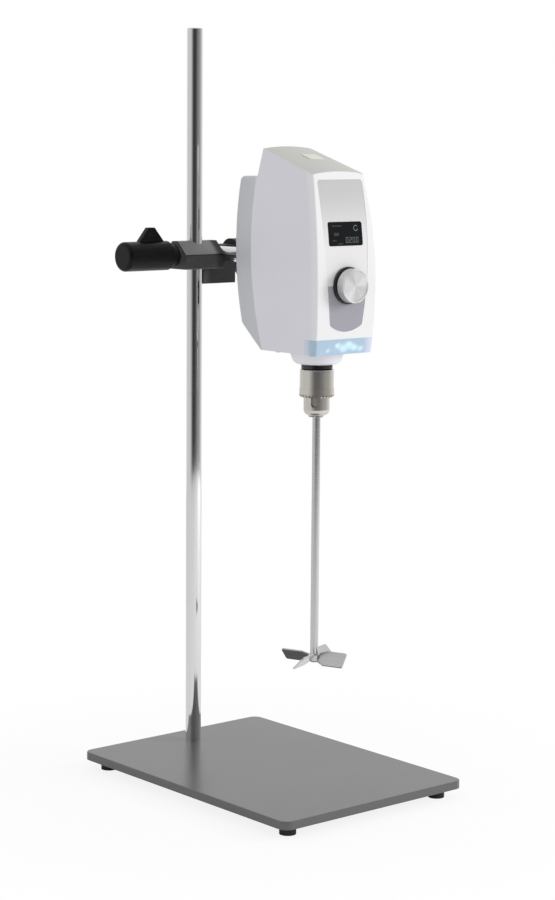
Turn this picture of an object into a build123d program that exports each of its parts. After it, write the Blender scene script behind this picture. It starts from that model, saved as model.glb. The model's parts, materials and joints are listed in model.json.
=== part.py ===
"""Overhead laboratory stirrer on a plate stand, in millimetres.

+Z is up and the stirrer's front faces -Y.  The origin is the centre of the base plate, on the
table under the feet.  The rod stands near the plate's rear edge, a cross clamp slides on it, and a
horizontal arm carries the drive head with its chuck, stirring shaft and propeller.
"""
import os
from math import atan2, cos, radians, sin, sqrt, tan

from build123d import *

os.makedirs("parts", exist_ok=True)

# ---------------------------------------------------------------- fits and clearances
RUNNING_FIT = 0.05      # radial play of a turning or sliding pair
SEAT_GAP = 0.2          # face gap where one piece moves past another
HOLE_PLAY = 0.2         # radial play of a screw in a clearance hole

# ---------------------------------------------------------------- stand
PLATE_WIDTH = 230.0
PLATE_DEPTH = 320.0
PLATE_THICKNESS = 8.0
PLATE_CORNER = 10.0
PLATE_EDGE = 1.0
FOOT_HEIGHT = 10.0
FOOT_DIAMETER = 16.0
FOOT_INSET = 19.0       # foot centre from the plate's edges
FOOT_SCREW = 4.0
FOOT_HEAD = 8.0
FOOT_HEAD_HEIGHT = 3.0
FOOT_HEAD_DEPTH = 3.0   # how far the foot screw's head is sunk above the table
FOOT_SCREW_BITE = 5.0   # thread length in the plate

ROD_DIAMETER = 16.0
ROD_SETBACK = 36.0      # rod axis from the plate's rear edge
LOWER_ROD = 364.0
UPPER_ROD = 367.5
ROD_CHAMFER = 0.8
ROD_JOINT_EDGE = 0.3
STUD_DIAMETER = 10.0
STUD_LENGTH = 40.0
FIXING_SCREW = 8.0
FIXING_HEAD = 13.0
FIXING_HEAD_HEIGHT = 4.5
FIXING_BITE = 22.0      # thread length in the rod
WASHER_DIAMETER = 24.0
WASHER_THICKNESS = 2.0

PLATE_TOP = FOOT_HEIGHT + PLATE_THICKNESS
ROD_Y = PLATE_DEPTH / 2 - ROD_SETBACK
ROD_JOINT_Z = PLATE_TOP + LOWER_ROD
ROD_TOP_Z = ROD_JOINT_Z + UPPER_ROD
ROD_R = ROD_DIAMETER / 2

# ---------------------------------------------------------------- cross clamp
CLAMP_Z = 523.5         # height of the arm's axis above the table
CLAMP_WIDTH = 49.5      # along X
CLAMP_DEPTH = 36.0      # along Y
CLAMP_HEIGHT = 28.0
RIDGE_WIDTH = 9.0       # flat top between the two roof slopes
RIDGE_DROP = 13.0       # height of the slopes
PARTING_GROOVE = 0.8
CLAMP_CORNER = 1.5
ARM_DIAMETER = 16.0
ARM_X = 30.0            # arm axis beside the rod axis
CRADLE_DROP = 30.0      # underside of the arm cradle below the arm's axis
CRADLE_START = 9.5      # cradle's inner end beside the rod
CRADLE_DEPTH = 21.0
CRADLE_WALL = 13.0      # wall that carries the arm screw
CRADLE_RISE = 9.0       # top of that wall above the arm's axis
SCREW_BOSS = 22.0
SCREW_BOSS_LENGTH = 10.0
CLAMP_SCREW = 10.0
KNOB_DIAMETER = 29.4
KNOB_LENGTH = 54.5
KNOB_BORE_DEPTH = 24.0
KNOB_ROUND = 3.5
KNOB_GAP = 1.4          # knob to boss when the screw is tight
WING_TOP_WIDTH = 7.5
WING_BASE_WIDTH = 33.0
WING_RISE = 13.6        # above the knob's cylinder
WING_THICKNESS = 5.5
WING_SETBACK = 3.5      # knob's inner face to the wing
TIP_GAP = 0.1           # screw tip to the rod it presses

ARM_R = ARM_DIAMETER / 2
CLAMP_LEFT = -CLAMP_WIDTH / 2
CLAMP_BOTTOM = CLAMP_Z - CLAMP_HEIGHT / 2
CRADLE_REAR = ROD_Y + CLAMP_DEPTH / 2
CRADLE_WALL_X = ARM_X + ARM_R + RUNNING_FIT
CRADLE_END_X = CRADLE_WALL_X + CRADLE_WALL
ARM_SCREW_Y = CRADLE_REAR - CRADLE_DEPTH / 2

# ---------------------------------------------------------------- drive head, outer form
HEAD_X = ARM_X          # head's middle plane
HEAD_BOTTOM = 435.5
FRONT_Y = -75.0         # foremost point of the bowed front
FRONT_BOW = 430.0
FRONT_BOW_Z = 497.0
SIDE_HALF = 38.6        # half width at the widest height
SIDE_BOW = 1000.0
SIDE_BOW_Z = 503.0
ROOF_FRONT_Z = 610.3    # roof's height at the front, in the middle
ROOF_REAR = (15.0, 633.3)
ROOF_CROWN = 225.0      # radius across the roof, which falls to both sides
HUMP_FOOT_Y = 20.5
SHOULDER_Z = 604.0      # top of the rear cover
PARTING_Y = 24.7        # rearmost point of the line between shell and cover
PARTING_BOW = 443.0
PARTING_Z = 555.0
COVER_DEPTH = 39.0      # parting line to the back face
COVER_TAPER = 15.0      # degrees that each cover side leans in
SLANT_Y = 11.0          # where the flat underside turns up to the rear
SLANT_Z = 463.0
WALL = 2.5
FRONT_ROUND = 2.2
REAR_ROUND = 9.0
COVER_TOP_ROUND = 5.0
PARTING_CENTRE = PARTING_Y - PARTING_BOW
BACK_BOW = PARTING_BOW + COVER_DEPTH

# ---------------------------------------------------------------- front panel
PANEL_THICKNESS = 1.6
PANEL_RECESS = 0.2
PANEL_TOP_Z = 602.5
PANEL_HALF_TOP = 28.5
PANEL_HALF_MIDDLE = 27.4
PANEL_MIDDLE_Z = 535.0
PANEL_HALF_LOW = 20.6
PANEL_LOW_Z = 464.0
PANEL_BOTTOM_Z = 457.5
PANEL_ROUND = 3.5
PANEL_PLAY = 0.1
DISPLAY_WIDTH = 43.4
DISPLAY_HEIGHT = 23.0
DISPLAY_Z = 551.2
DISPLAY_ROUND = 2.0
WINDOW_THICKNESS = 1.5
MODULE_MARGIN = 3.0     # display module past the window on each side
MODULE_THICKNESS = 3.0
BOARD_THICKNESS = 1.6
CONTROL_BOARD_WIDTH = 52.0
CONTROL_BOARD_HEIGHT = 112.0
CONTROL_BOARD_Z = 526.0
CONTROL_BOARD_GAP = 1.0  # upper edge to the shell's wall
CONTROL_POST_X = 20.0

# ---------------------------------------------------------------- control knob
DIAL_Z = 502.0
DIAL_DIAMETER = 32.8
DIAL_LENGTH = 9.2
DIAL_ROUND = 1.0
DIAL_DISH = 0.5
DIAL_RING = 36.0
DIAL_RING_THICKNESS = 3.0
DIAL_PRESS = 0.6        # travel of the dial when it is pressed
DIAL_GAP = 0.9          # ring to dial at rest
ENCODER_SIZE = 12.0
ENCODER_DEPTH = 6.0
ENCODER_SHAFT = 6.0
ENCODER_BUSH = 9.0
SHAFT_IN_DIAL = 6.5

# ---------------------------------------------------------------- light bar
BAR_HEIGHT = 15.0
BAR_REACH = 20.0        # how far it wraps along each side, from the foremost front
BAR_THICKNESS = 3.0
LED_BOARD_WIDTH = 50.0
LED_BOARD_HEIGHT = 9.0
LED_COUNT = 5
LED_PITCH = 10.0
LED_SIZE = 3.0
LED_DEPTH = 1.0

# ---------------------------------------------------------------- chassis
CHASSIS_WIDTH = 54.0
CHASSIS_FLOOR = 6.0
CHASSIS_BACK = 7.0
CHASSIS_BACK_Y = 26.0   # inner face of the upright
CHASSIS_TOP_Z = 596.0
CHASSIS_GAP = 2.0       # shell's floor to the chassis
CHASSIS_TURN_Y = 7.0    # where the floor turns up to the upright
CHASSIS_TURN_Z = 462.0
CASE_BOSS = 7.0
CASE_SCREW = 3.0
CASE_SCREW_HEAD = 5.5
CASE_SCREW_HEAD_HEIGHT = 2.0
SCREW_END_GAP = 1.0     # screw ends short of the far side of its threaded wall
CASE_SCREW_X = 23.5     # each side of the middle plane
CASE_SCREW_FRONT_Y = -51.4
CASE_SCREW_REAR_Y = -2.0
COVER_SCREW_X = 15.0
COVER_SCREW_LOW_Z = 505.0
COVER_SCREW_HIGH_Z = 585.0
COVER_POST = 7.0
ARM_SPIGOT = 12.0
ARM_NUT = 19.0          # across flats
ARM_NUT_THICKNESS = 7.0
ARM_TAIL = 16.0         # arm past the clamp's rear face

# ---------------------------------------------------------------- motor and spindle
SPINDLE_Y = -32.0
SPINDLE_DIAMETER = 10.0
MOTOR_DIAMETER = 52.0
MOTOR_WALL = 2.0
MOTOR_FLOOR = 10.0
MOTOR_HEIGHT = 88.0     # from the chassis floor to the top of the can
MOTOR_PILOT = 30.0
PILOT_DEPTH = 4.0
MOTOR_CAP = 8.0
BEARING_OUTER = 26.0
BEARING_WIDTH = 8.0
BEARING_RACE = 2.6      # radial thickness of each ring
STATOR_LENGTH = 46.0
STATOR_LIFT = 8.0       # above the motor's floor
STATOR_BACK_IRON = 4.0
STATOR_TEETH = 9
TOOTH_WIDTH = 5.0
AIR_GAP = 0.5
ROTOR_DIAMETER = 28.0
COIL_THICKNESS = 1.8
COIL_OVERHANG = 3.0
MOTOR_SCREW = 4.0
MOTOR_SCREW_CIRCLE = 40.0
MOTOR_SCREW_BITE = 7.0
DRIVE_BOARD_DIAMETER = 44.0
DRIVE_BOARD_LIFT = 9.0  # above the motor's cap
DRIVE_BOARD_BORE = 16.0
STANDOFF = 5.0
STANDOFF_CIRCLE = 34.0
SPINDLE_STUB = 5.0      # spindle above the upper bearing

# ---------------------------------------------------------------- collar and chuck
COLLAR_TOP = 54.5
COLLAR_BOTTOM = 45.0
COLLAR_HEIGHT = 12.2
COLLAR_ROUND = 7.0
COLLAR_SPIGOT = 40.0
COLLAR_BORE = 14.0
SEAL_OUTER = 20.0
SEAL_HEIGHT = 5.0
CHUCK_GAP = 1.0         # collar to the chuck's back
CHUCK_BACK = 31.0
CHUCK_BACK_HEIGHT = 4.0
CHUCK_SLEEVE = 33.4
CHUCK_SLEEVE_LENGTH = 27.4
CHUCK_CORE = 25.8       # core and nose, one diameter
CHUCK_NOSE_LENGTH = 18.0
CHUCK_NOSE_ROUND = 6.0
CHUCK_BORE = 10.6
CHUCK_SHANK = 14.0      # spindle length in the chuck
KEY_HOLE = 6.2
KEY_HOLE_DEPTH = 3.2
KEY_HOLE_ANGLE = 218.0
GEAR_RING = 34.4
GEAR_RING_HEIGHT = 9.0
GEAR_TEETH = 30
TOOTH_DEPTH = 1.4
TOOTH_GAP = 1.6
NUT_OUTER = 29.8
NUT_HEIGHT = 8.0
NUT_LIFT = 3.0          # above the sleeve's lower face
JAW_DIAMETER = 4.5
JAW_ANGLE = 12.0
JAW_LENGTH = 32.0
JAW_TIP_DROP = 1.5      # tips below the nose
JAW_OPENING = 1.0       # radial travel of each jaw
JAW_OUTER = 11.8        # radius that the jaws' threaded backs reach

# ---------------------------------------------------------------- stirring shaft and propeller
SHAFT_DIAMETER = 8.0
SHAFT_LENGTH = 275.0
SHAFT_IN_CHUCK = 28.0
PROPELLER_RADIUS = 34.0
BLADES = 4
BLADE_WIDTH = 16.5
BLADE_ROOT_WIDTH = 9.0
BLADE_THICKNESS = 1.5
BLADE_PITCH = 47.0
BLADE_ANGLE = -69.0
BLADE_ROUND = 2.0
HUB_DIAMETER = 12.0
HUB_HEIGHT = 7.0
PROPELLER_LIFT = 1.0    # shaft end below the hub
GRUB_DIAMETER = 3.0

# ---------------------------------------------------------------- mains side
INLET_Z = 481.0
INLET_FLANGE = (31.0, 24.0)
INLET_BODY = (27.0, 19.8)
INLET_DEPTH = 17.0
INLET_SOCKET = (24.0, 16.6)
INLET_SOCKET_DEPTH = 14.0
FLANGE_THICKNESS = 2.0
PIN_SIZE = (2.0, 4.0)
PIN_SPREAD = 7.0
PIN_RISE = 2.0
PIN_LENGTH = 11.0
SWITCH_Z = 557.0
SWITCH_FLANGE = (15.0, 21.0)
SWITCH_BODY = (12.8, 18.8)
SWITCH_DEPTH = 12.0
SWITCH_WELL = (10.6, 16.6)
ROCKER_THROW = 16.0     # degrees from off to on
ROCKER_PIVOT_DEPTH = 4.0
ROCKER_RISE = 2.2
ROCKER_DROP = 4.0       # foot of the rocker behind its pivot
ROCKER_WAIST = 1.0      # rocker's full width ends this far behind the pivot
ROCKER_FOOT = 2.0       # half width of the foot
ROCKER_END_GAP = 1.1    # rocker's ends to the well
ROCKER_PIN = 2.4
POWER_BOARD_WIDTH = 52.0
POWER_BOARD_HEIGHT = 56.0
POWER_BOARD_Z = 565.0
POWER_BOARD_GAP = 6.0   # to the upright's inner face
TRANSFORMER = (22.0, 12.0, 20.0)
TRANSFORMER_PLACE = (-12.0, 8.0)    # from the board's middle
CAPACITOR_PLACES = ((14.0, 12.0), (14.0, -4.0))
CAPACITOR_DIAMETER = 12.0
CAPACITOR_LENGTH = 12.0
TOP_PLATE_WIDTH = 18.0
TOP_PLATE_DEPTH = 14.0
TOP_PLATE_ROUND = 1.5
TOP_PLATE_Y = -17.0
TOP_PLATE_X = 35.0
TOP_PLATE_THICKNESS = 0.5

# ---------------------------------------------------------------- heights that follow
CHASSIS_Z = HEAD_BOTTOM + WALL + CHASSIS_GAP
MOTOR_Z = CHASSIS_Z + CHASSIS_FLOOR
MOTOR_TOP_Z = MOTOR_Z + MOTOR_HEIGHT
LOWER_BEARING_Z = MOTOR_Z + MOTOR_FLOOR - BEARING_WIDTH
UPPER_BEARING_Z = MOTOR_TOP_Z - BEARING_WIDTH / 2
STATOR_Z = MOTOR_Z + MOTOR_FLOOR + STATOR_LIFT
SPINDLE_TOP_Z = MOTOR_TOP_Z + MOTOR_CAP + SPINDLE_STUB
CHUCK_TOP_Z = HEAD_BOTTOM - COLLAR_HEIGHT - CHUCK_GAP
SLEEVE_TOP_Z = CHUCK_TOP_Z - CHUCK_BACK_HEIGHT - SEAT_GAP
SLEEVE_BOTTOM_Z = SLEEVE_TOP_Z - CHUCK_SLEEVE_LENGTH
NOSE_TOP_Z = SLEEVE_BOTTOM_Z - SEAT_GAP
NOSE_BOTTOM_Z = NOSE_TOP_Z - CHUCK_NOSE_LENGTH
SPINDLE_BOTTOM_Z = CHUCK_TOP_Z - CHUCK_SHANK
SHAFT_TOP_Z = NOSE_BOTTOM_Z + SHAFT_IN_CHUCK
SHAFT_BOTTOM_Z = SHAFT_TOP_Z - SHAFT_LENGTH
HUB_Z = SHAFT_BOTTOM_Z + PROPELLER_LIFT
DIAL_RING_Y = FRONT_Y - DIAL_RING_THICKNESS
DIAL_BACK_Y = DIAL_RING_Y - DIAL_GAP
POWER_BOARD_Y = CHASSIS_BACK_Y - POWER_BOARD_GAP - BOARD_THICKNESS


# ---------------------------------------------------------------- shared curves of the head
head_plane = Plane((HEAD_X, 0, 0), x_dir=(1, 0, 0), z_dir=(0, -1, 0))
long_edge = (SHOULDER_Z - HEAD_BOTTOM) / 2


def front_at(z, inset=0.0):
    """Y of the bowed front at height z, drawn in by inset."""
    return FRONT_Y + FRONT_BOW - sqrt((FRONT_BOW - inset) ** 2 - (z - FRONT_BOW_Z) ** 2)


def half_at(z, inset=0.0):
    """Half width of the bowed sides at height z."""
    return SIDE_HALF - SIDE_BOW + sqrt((SIDE_BOW - inset) ** 2 - (z - SIDE_BOW_Z) ** 2)


def parting_at(z, shift=0.0):
    """Y of the line between the main shell and the rear cover at height z."""
    return PARTING_CENTRE + sqrt((PARTING_BOW + shift) ** 2 - (z - PARTING_Z) ** 2)


def back_at(z, inset=0.0):
    """Y of the rear cover's back face at height z."""
    return parting_at(z, COVER_DEPTH - inset)


def main_form(inset, opening=0.0):
    """Main shell's form drawn in by inset; opening carries it past the parting line."""
    floor = HEAD_BOTTOM + inset
    shoulder = SHOULDER_Z - inset
    top = ROOF_REAR[1] + COVER_DEPTH
    middle = (floor + top) / 2
    roof_front = (front_at(ROOF_FRONT_Z), ROOF_FRONT_Z)
    roof_lean = atan2(ROOF_REAR[1] - roof_front[1], ROOF_REAR[0] - roof_front[0])
    hump_lean = (HUMP_FOOT_Y - ROOF_REAR[0]) / (ROOF_REAR[1] - SHOULDER_Z)
    with BuildPart() as form:
        with BuildSketch(Plane.YZ.offset(HEAD_X)):
            with BuildLine():
                low = (front_at(floor, inset), floor)
                high = (front_at(top, inset), top)
                bow = (FRONT_Y + inset, FRONT_BOW_Z)
                rear = (HUMP_FOOT_Y - inset - hump_lean * (top - shoulder), top)
                foot = (HUMP_FOOT_Y - inset, shoulder)
                ThreePointArc(low, bow, high)
                Line(high, rear)
                Line(rear, foot)
                Line(foot, (parting_at(shoulder, opening), shoulder))
                parting_middle = (parting_at(PARTING_Z, opening), PARTING_Z)
                parting_low = (parting_at(floor, opening), floor)
                ThreePointArc((parting_at(shoulder, opening), shoulder), parting_middle, parting_low)
                Line(parting_low, low)
            make_face()
        extrude(amount=SIDE_HALF + WALL, both=True)
        with BuildSketch(head_plane):
            with BuildLine():
                heights = (floor, middle, top)
                right, left = ([(side * half_at(z, inset), z) for z in heights] for side in (1, -1))
                ThreePointArc(*right)
                ThreePointArc(*left)
                Line(right[0], left[0])
                Line(right[-1], left[-1])
            make_face()
        extrude(amount=2 * COVER_DEPTH - FRONT_Y, both=True, mode=Mode.INTERSECT)
        crown_y = roof_front[0] + ROOF_CROWN * sin(roof_lean)
        crown_z = roof_front[1] - ROOF_CROWN * cos(roof_lean)
        roof_rise = (0, cos(roof_lean), sin(roof_lean))
        with BuildSketch(Plane((HEAD_X, crown_y, crown_z), x_dir=(1, 0, 0), z_dir=roof_rise)):
            Circle(ROOF_CROWN - inset)
        extrude(amount=2 * ROOF_CROWN, both=True, mode=Mode.INTERSECT)
    return form


def cover_form(inset, opening=0.0):
    """Rear cover's form drawn in by inset; opening carries it forward past the parting line."""
    floor = HEAD_BOTTOM + inset
    shoulder = SHOULDER_Z - inset
    slant = atan2(SLANT_Z - HEAD_BOTTOM, back_at(SLANT_Z) - SLANT_Y)
    slant_shift = inset * tan(slant / 2)
    with BuildPart() as form:
        with BuildSketch(Plane.YZ.offset(HEAD_X)):
            with BuildLine():
                front_low = (parting_at(floor, -opening), floor)
                turn = (SLANT_Y - slant_shift, floor)
                back_low = (back_at(SLANT_Z + slant_shift, inset), SLANT_Z + slant_shift)
                back_top = (back_at(shoulder, inset), shoulder)
                front_top = (parting_at(shoulder, -opening), shoulder)
                Polyline(front_low, turn, back_low)
                ThreePointArc(back_low, (back_at(PARTING_Z, inset), PARTING_Z), back_top)
                Line(back_top, front_top)
                ThreePointArc(front_top, (parting_at(PARTING_Z, -opening), PARTING_Z), front_low)
            make_face()
        extrude(amount=SIDE_HALF + WALL, both=True)
        for side in (1, -1):
            lean = radians(COVER_TAPER)
            across = (-cos(lean), side * sin(lean), 0)
            along = (side * sin(lean), cos(lean), 0)
            with BuildSketch(Plane((HEAD_X, 0, 0), x_dir=across, z_dir=along)):
                with BuildLine():
                    rim = []
                    for z in (HEAD_BOTTOM, PARTING_Z, SHOULDER_Z):
                        reach = half_at(z) * cos(lean) + parting_at(z) * sin(lean) - inset
                        rim.append((side * reach, z))
                    far = -side * 3 * SIDE_HALF
                    ThreePointArc(*rim)
                    Polyline(rim[0], (far, HEAD_BOTTOM), (far, SHOULDER_Z), rim[2])
                make_face()
            extrude(amount=4 * SIDE_HALF, both=True, mode=Mode.INTERSECT)
    return form


def panel_outline(play=0.0):
    """Outline of the grey front panel: straight top, bowed sides that close in, curved foot."""
    with BuildSketch(Plane.XZ) as outline:
        with BuildLine():
            for side in (1, -1):
                ThreePointArc((HEAD_X + side * (PANEL_HALF_TOP - play), PANEL_TOP_Z - play),
                              (HEAD_X + side * (PANEL_HALF_MIDDLE - play), PANEL_MIDDLE_Z),
                              (HEAD_X + side * (PANEL_HALF_LOW - play), PANEL_LOW_Z))
            ThreePointArc((HEAD_X - PANEL_HALF_LOW + play, PANEL_LOW_Z),
                          (HEAD_X, PANEL_BOTTOM_Z + play),
                          (HEAD_X + PANEL_HALF_LOW - play, PANEL_LOW_Z))
            Line((HEAD_X - PANEL_HALF_TOP + play, PANEL_TOP_Z - play),
                 (HEAD_X + PANEL_HALF_TOP - play, PANEL_TOP_Z - play))
        make_face()
        fillet(outline.vertices(), PANEL_ROUND)
    return outline


# ---------------------------------------------------------------- stand: plate, feet and rod
foot_x = PLATE_WIDTH / 2 - FOOT_INSET
foot_y = PLATE_DEPTH / 2 - FOOT_INSET
foot_places = [(x, y) for x in (-foot_x, foot_x) for y in (-foot_y, foot_y)]

with BuildPart() as base_plate:
    with BuildSketch(Plane.XY.offset(FOOT_HEIGHT)):
        RectangleRounded(PLATE_WIDTH, PLATE_DEPTH, PLATE_CORNER)
        with Locations((0, ROD_Y)):
            Circle(FIXING_SCREW / 2 + HOLE_PLAY, mode=Mode.SUBTRACT)
    extrude(amount=PLATE_THICKNESS)
    rim = base_plate.edges().filter_by(lambda e: e.length > 4 * FIXING_SCREW or e.center().Y < ROD_Y)
    fillet(rim.group_by(Axis.Z)[-1], PLATE_EDGE)
    with BuildSketch(Plane.XY.offset(FOOT_HEIGHT)):
        with Locations(*foot_places):
            Circle(FOOT_SCREW / 2 + RUNNING_FIT)
    extrude(amount=FOOT_SCREW_BITE, mode=Mode.SUBTRACT)
base_plate.part.label = "base_plate"
export_step(base_plate.part, "parts/base_plate.step")

foot_counterbore = FOOT_HEAD_DEPTH + FOOT_HEAD_HEIGHT
with BuildPart() as rubber_feet:
    with BuildSketch():
        with Locations(*foot_places):
            Circle(FOOT_DIAMETER / 2)
            Circle(FOOT_HEAD / 2 + HOLE_PLAY, mode=Mode.SUBTRACT)
    extrude(amount=foot_counterbore)
    with BuildSketch(Plane.XY.offset(foot_counterbore)):
        with Locations(*foot_places):
            Circle(FOOT_DIAMETER / 2)
            Circle(FOOT_SCREW / 2 + RUNNING_FIT, mode=Mode.SUBTRACT)
    extrude(amount=FOOT_HEIGHT - foot_counterbore)
rubber_feet.part.label = "rubber_feet"
export_step(rubber_feet.part, "parts/rubber_feet.step")

with BuildPart() as foot_screws:
    with BuildSketch(Plane.XY.offset(FOOT_HEAD_DEPTH)):
        with Locations(*foot_places):
            Circle(FOOT_HEAD / 2)
    extrude(amount=FOOT_HEAD_HEIGHT)
    with BuildSketch(Plane.XY.offset(foot_counterbore)):
        with Locations(*foot_places):
            Circle(FOOT_SCREW / 2)
    extrude(amount=FOOT_HEIGHT - foot_counterbore + FOOT_SCREW_BITE - SEAT_GAP)
foot_screws.part.label = "foot_screws"
export_step(foot_screws.part, "parts/foot_screws.step")

with BuildPart() as rod_fixing_washer:
    with BuildSketch(Plane.XY.offset(FOOT_HEIGHT - WASHER_THICKNESS)):
        with Locations((0, ROD_Y)):
            Circle(WASHER_DIAMETER / 2)
            Circle(FIXING_SCREW / 2 + HOLE_PLAY, mode=Mode.SUBTRACT)
    extrude(amount=WASHER_THICKNESS)
rod_fixing_washer.part.label = "rod_fixing_washer"
export_step(rod_fixing_washer.part, "parts/rod_fixing_washer.step")

fixing_head_z = FOOT_HEIGHT - WASHER_THICKNESS - FIXING_HEAD_HEIGHT
with BuildPart() as rod_fixing_screw:
    with BuildSketch(Plane.XY.offset(fixing_head_z)):
        with Locations((0, ROD_Y)):
            Circle(FIXING_HEAD / 2)
            RegularPolygon(FIXING_HEAD / 4, 6, mode=Mode.SUBTRACT)
    extrude(amount=FIXING_HEAD_HEIGHT)
    with BuildSketch(Plane.XY.offset(fixing_head_z + FIXING_HEAD_HEIGHT / 2)):
        with Locations((0, ROD_Y)):
            Circle(FIXING_SCREW / 2)
    extrude(amount=PLATE_TOP + FIXING_BITE - fixing_head_z - FIXING_HEAD_HEIGHT / 2)
rod_fixing_screw.part.label = "rod_fixing_screw"
export_step(rod_fixing_screw.part, "parts/rod_fixing_screw.step")

rod_plane = Plane((0, ROD_Y, 0))
with BuildPart() as lower_rod:
    with BuildSketch(rod_plane.offset(PLATE_TOP)):
        Circle(ROD_R)
    extrude(amount=LOWER_ROD)
    chamfer(lower_rod.edges().group_by(Axis.Z)[-1], ROD_JOINT_EDGE)
    with BuildSketch(rod_plane.offset(PLATE_TOP)):
        Circle(FIXING_SCREW / 2 + RUNNING_FIT)
    extrude(amount=FIXING_BITE + 2 * SEAT_GAP, mode=Mode.SUBTRACT)
    with BuildSketch(rod_plane.offset(ROD_JOINT_Z)):
        Circle(STUD_DIAMETER / 2 + RUNNING_FIT)
    extrude(amount=-(STUD_LENGTH / 2 + SEAT_GAP), mode=Mode.SUBTRACT)
lower_rod.part.label = "lower_rod"
export_step(lower_rod.part, "parts/lower_rod.step")

with BuildPart() as upper_rod:
    with BuildSketch(rod_plane.offset(ROD_JOINT_Z)):
        Circle(ROD_R)
    extrude(amount=UPPER_ROD)
    chamfer(upper_rod.edges().group_by(Axis.Z)[0], ROD_JOINT_EDGE)
    chamfer(upper_rod.edges().group_by(Axis.Z)[-1], ROD_CHAMFER)
    with BuildSketch(rod_plane.offset(ROD_JOINT_Z)):
        Circle(STUD_DIAMETER / 2 + RUNNING_FIT)
    extrude(amount=STUD_LENGTH / 2 + SEAT_GAP, mode=Mode.SUBTRACT)
upper_rod.part.label = "upper_rod"
export_step(upper_rod.part, "parts/upper_rod.step")

with BuildPart() as rod_joint_stud:
    with BuildSketch(rod_plane.offset(ROD_JOINT_Z)):
        Circle(STUD_DIAMETER / 2)
    extrude(amount=STUD_LENGTH / 2, both=True)
rod_joint_stud.part.label = "rod_joint_stud"
export_step(rod_joint_stud.part, "parts/rod_joint_stud.step")

# ---------------------------------------------------------------- cross clamp
arm_plane = Plane((ARM_X, 0, CLAMP_Z), x_dir=(1, 0, 0), z_dir=(0, -1, 0))
boss_start = CLAMP_LEFT - SCREW_BOSS_LENGTH
rod_screw_plane = Plane((0, ROD_Y, CLAMP_Z), x_dir=(0, 1, 0), z_dir=(-1, 0, 0))
arm_screw_plane = Plane((ARM_X, ARM_SCREW_Y, CLAMP_Z), x_dir=(0, 1, 0), z_dir=(1, 0, 0))

with BuildPart() as clamp_body:
    with BuildSketch(Plane.YZ):
        with BuildLine():
            half = CLAMP_DEPTH / 2
            top = CLAMP_BOTTOM + CLAMP_HEIGHT
            Polyline((ROD_Y - half, CLAMP_BOTTOM), (ROD_Y + half, CLAMP_BOTTOM),
                     (ROD_Y + half, top - RIDGE_DROP), (ROD_Y + RIDGE_WIDTH / 2, top),
                     (ROD_Y - RIDGE_WIDTH / 2, top), (ROD_Y - half, top - RIDGE_DROP), close=True)
        make_face()
    extrude(amount=CLAMP_WIDTH / 2, both=True)
    fillet(clamp_body.edges().filter_by(Axis.X), CLAMP_CORNER)
    with BuildSketch(Plane.YZ.offset(CRADLE_START)):
        with Locations((CRADLE_REAR - CRADLE_DEPTH / 2, CLAMP_Z - CRADLE_DROP / 2)):
            Rectangle(CRADLE_DEPTH, CRADLE_DROP)
    extrude(amount=CRADLE_END_X - CRADLE_START)
    with BuildSketch(Plane.YZ.offset(CRADLE_WALL_X)):
        with Locations((CRADLE_REAR - CRADLE_DEPTH / 2, CLAMP_Z)):
            Rectangle(CRADLE_DEPTH, 2 * CRADLE_RISE)
    extrude(amount=CRADLE_WALL)
    with BuildSketch(rod_screw_plane.offset(-CLAMP_LEFT)):
        Circle(SCREW_BOSS / 2)
    extrude(amount=SCREW_BOSS_LENGTH)
    groove_z = top - RIDGE_DROP - PARTING_GROOVE
    with BuildSketch(Plane.YZ.offset(CLAMP_LEFT)):
        with Locations((ROD_Y - half, groove_z), (ROD_Y + half, groove_z)):
            Rectangle(2 * PARTING_GROOVE, PARTING_GROOVE)
    extrude(amount=CLAMP_WIDTH, mode=Mode.SUBTRACT)
    with BuildSketch(rod_plane.offset(CLAMP_Z)):
        Circle(ROD_R + RUNNING_FIT)
    extrude(amount=2 * CLAMP_HEIGHT, both=True, mode=Mode.SUBTRACT)
    with BuildSketch(arm_plane.offset(-ROD_Y)):
        Circle(ARM_R + RUNNING_FIT)
    extrude(amount=CLAMP_DEPTH, both=True, mode=Mode.SUBTRACT)
    with BuildSketch(rod_screw_plane):
        Circle(CLAMP_SCREW / 2 + RUNNING_FIT)
    extrude(amount=-boss_start + 1, mode=Mode.SUBTRACT)
    with BuildSketch(arm_screw_plane):
        Circle(CLAMP_SCREW / 2 + RUNNING_FIT)
    extrude(amount=CRADLE_END_X, mode=Mode.SUBTRACT)
clamp_body.part.label = "clamp_body"
export_step(clamp_body.part, "parts/clamp_body.step")


def clamp_screw(plane, tip):
    """Smooth clamp screw along plane's normal, from tip into the knob's bore."""
    with BuildPart() as screw:
        with BuildSketch(plane.offset(tip)):
            Circle(CLAMP_SCREW / 2)
        extrude(amount=knob_start(plane) + KNOB_BORE_DEPTH - SEAT_GAP - tip)
        chamfer(screw.edges().filter_by(GeomType.CIRCLE), CLAMP_SCREW / 10)
    return screw


def knob_start(plane):
    """Distance along plane's normal at which the knob begins."""
    if plane is rod_screw_plane:
        return -boss_start + KNOB_GAP
    return CRADLE_END_X - ARM_X + KNOB_GAP


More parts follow.
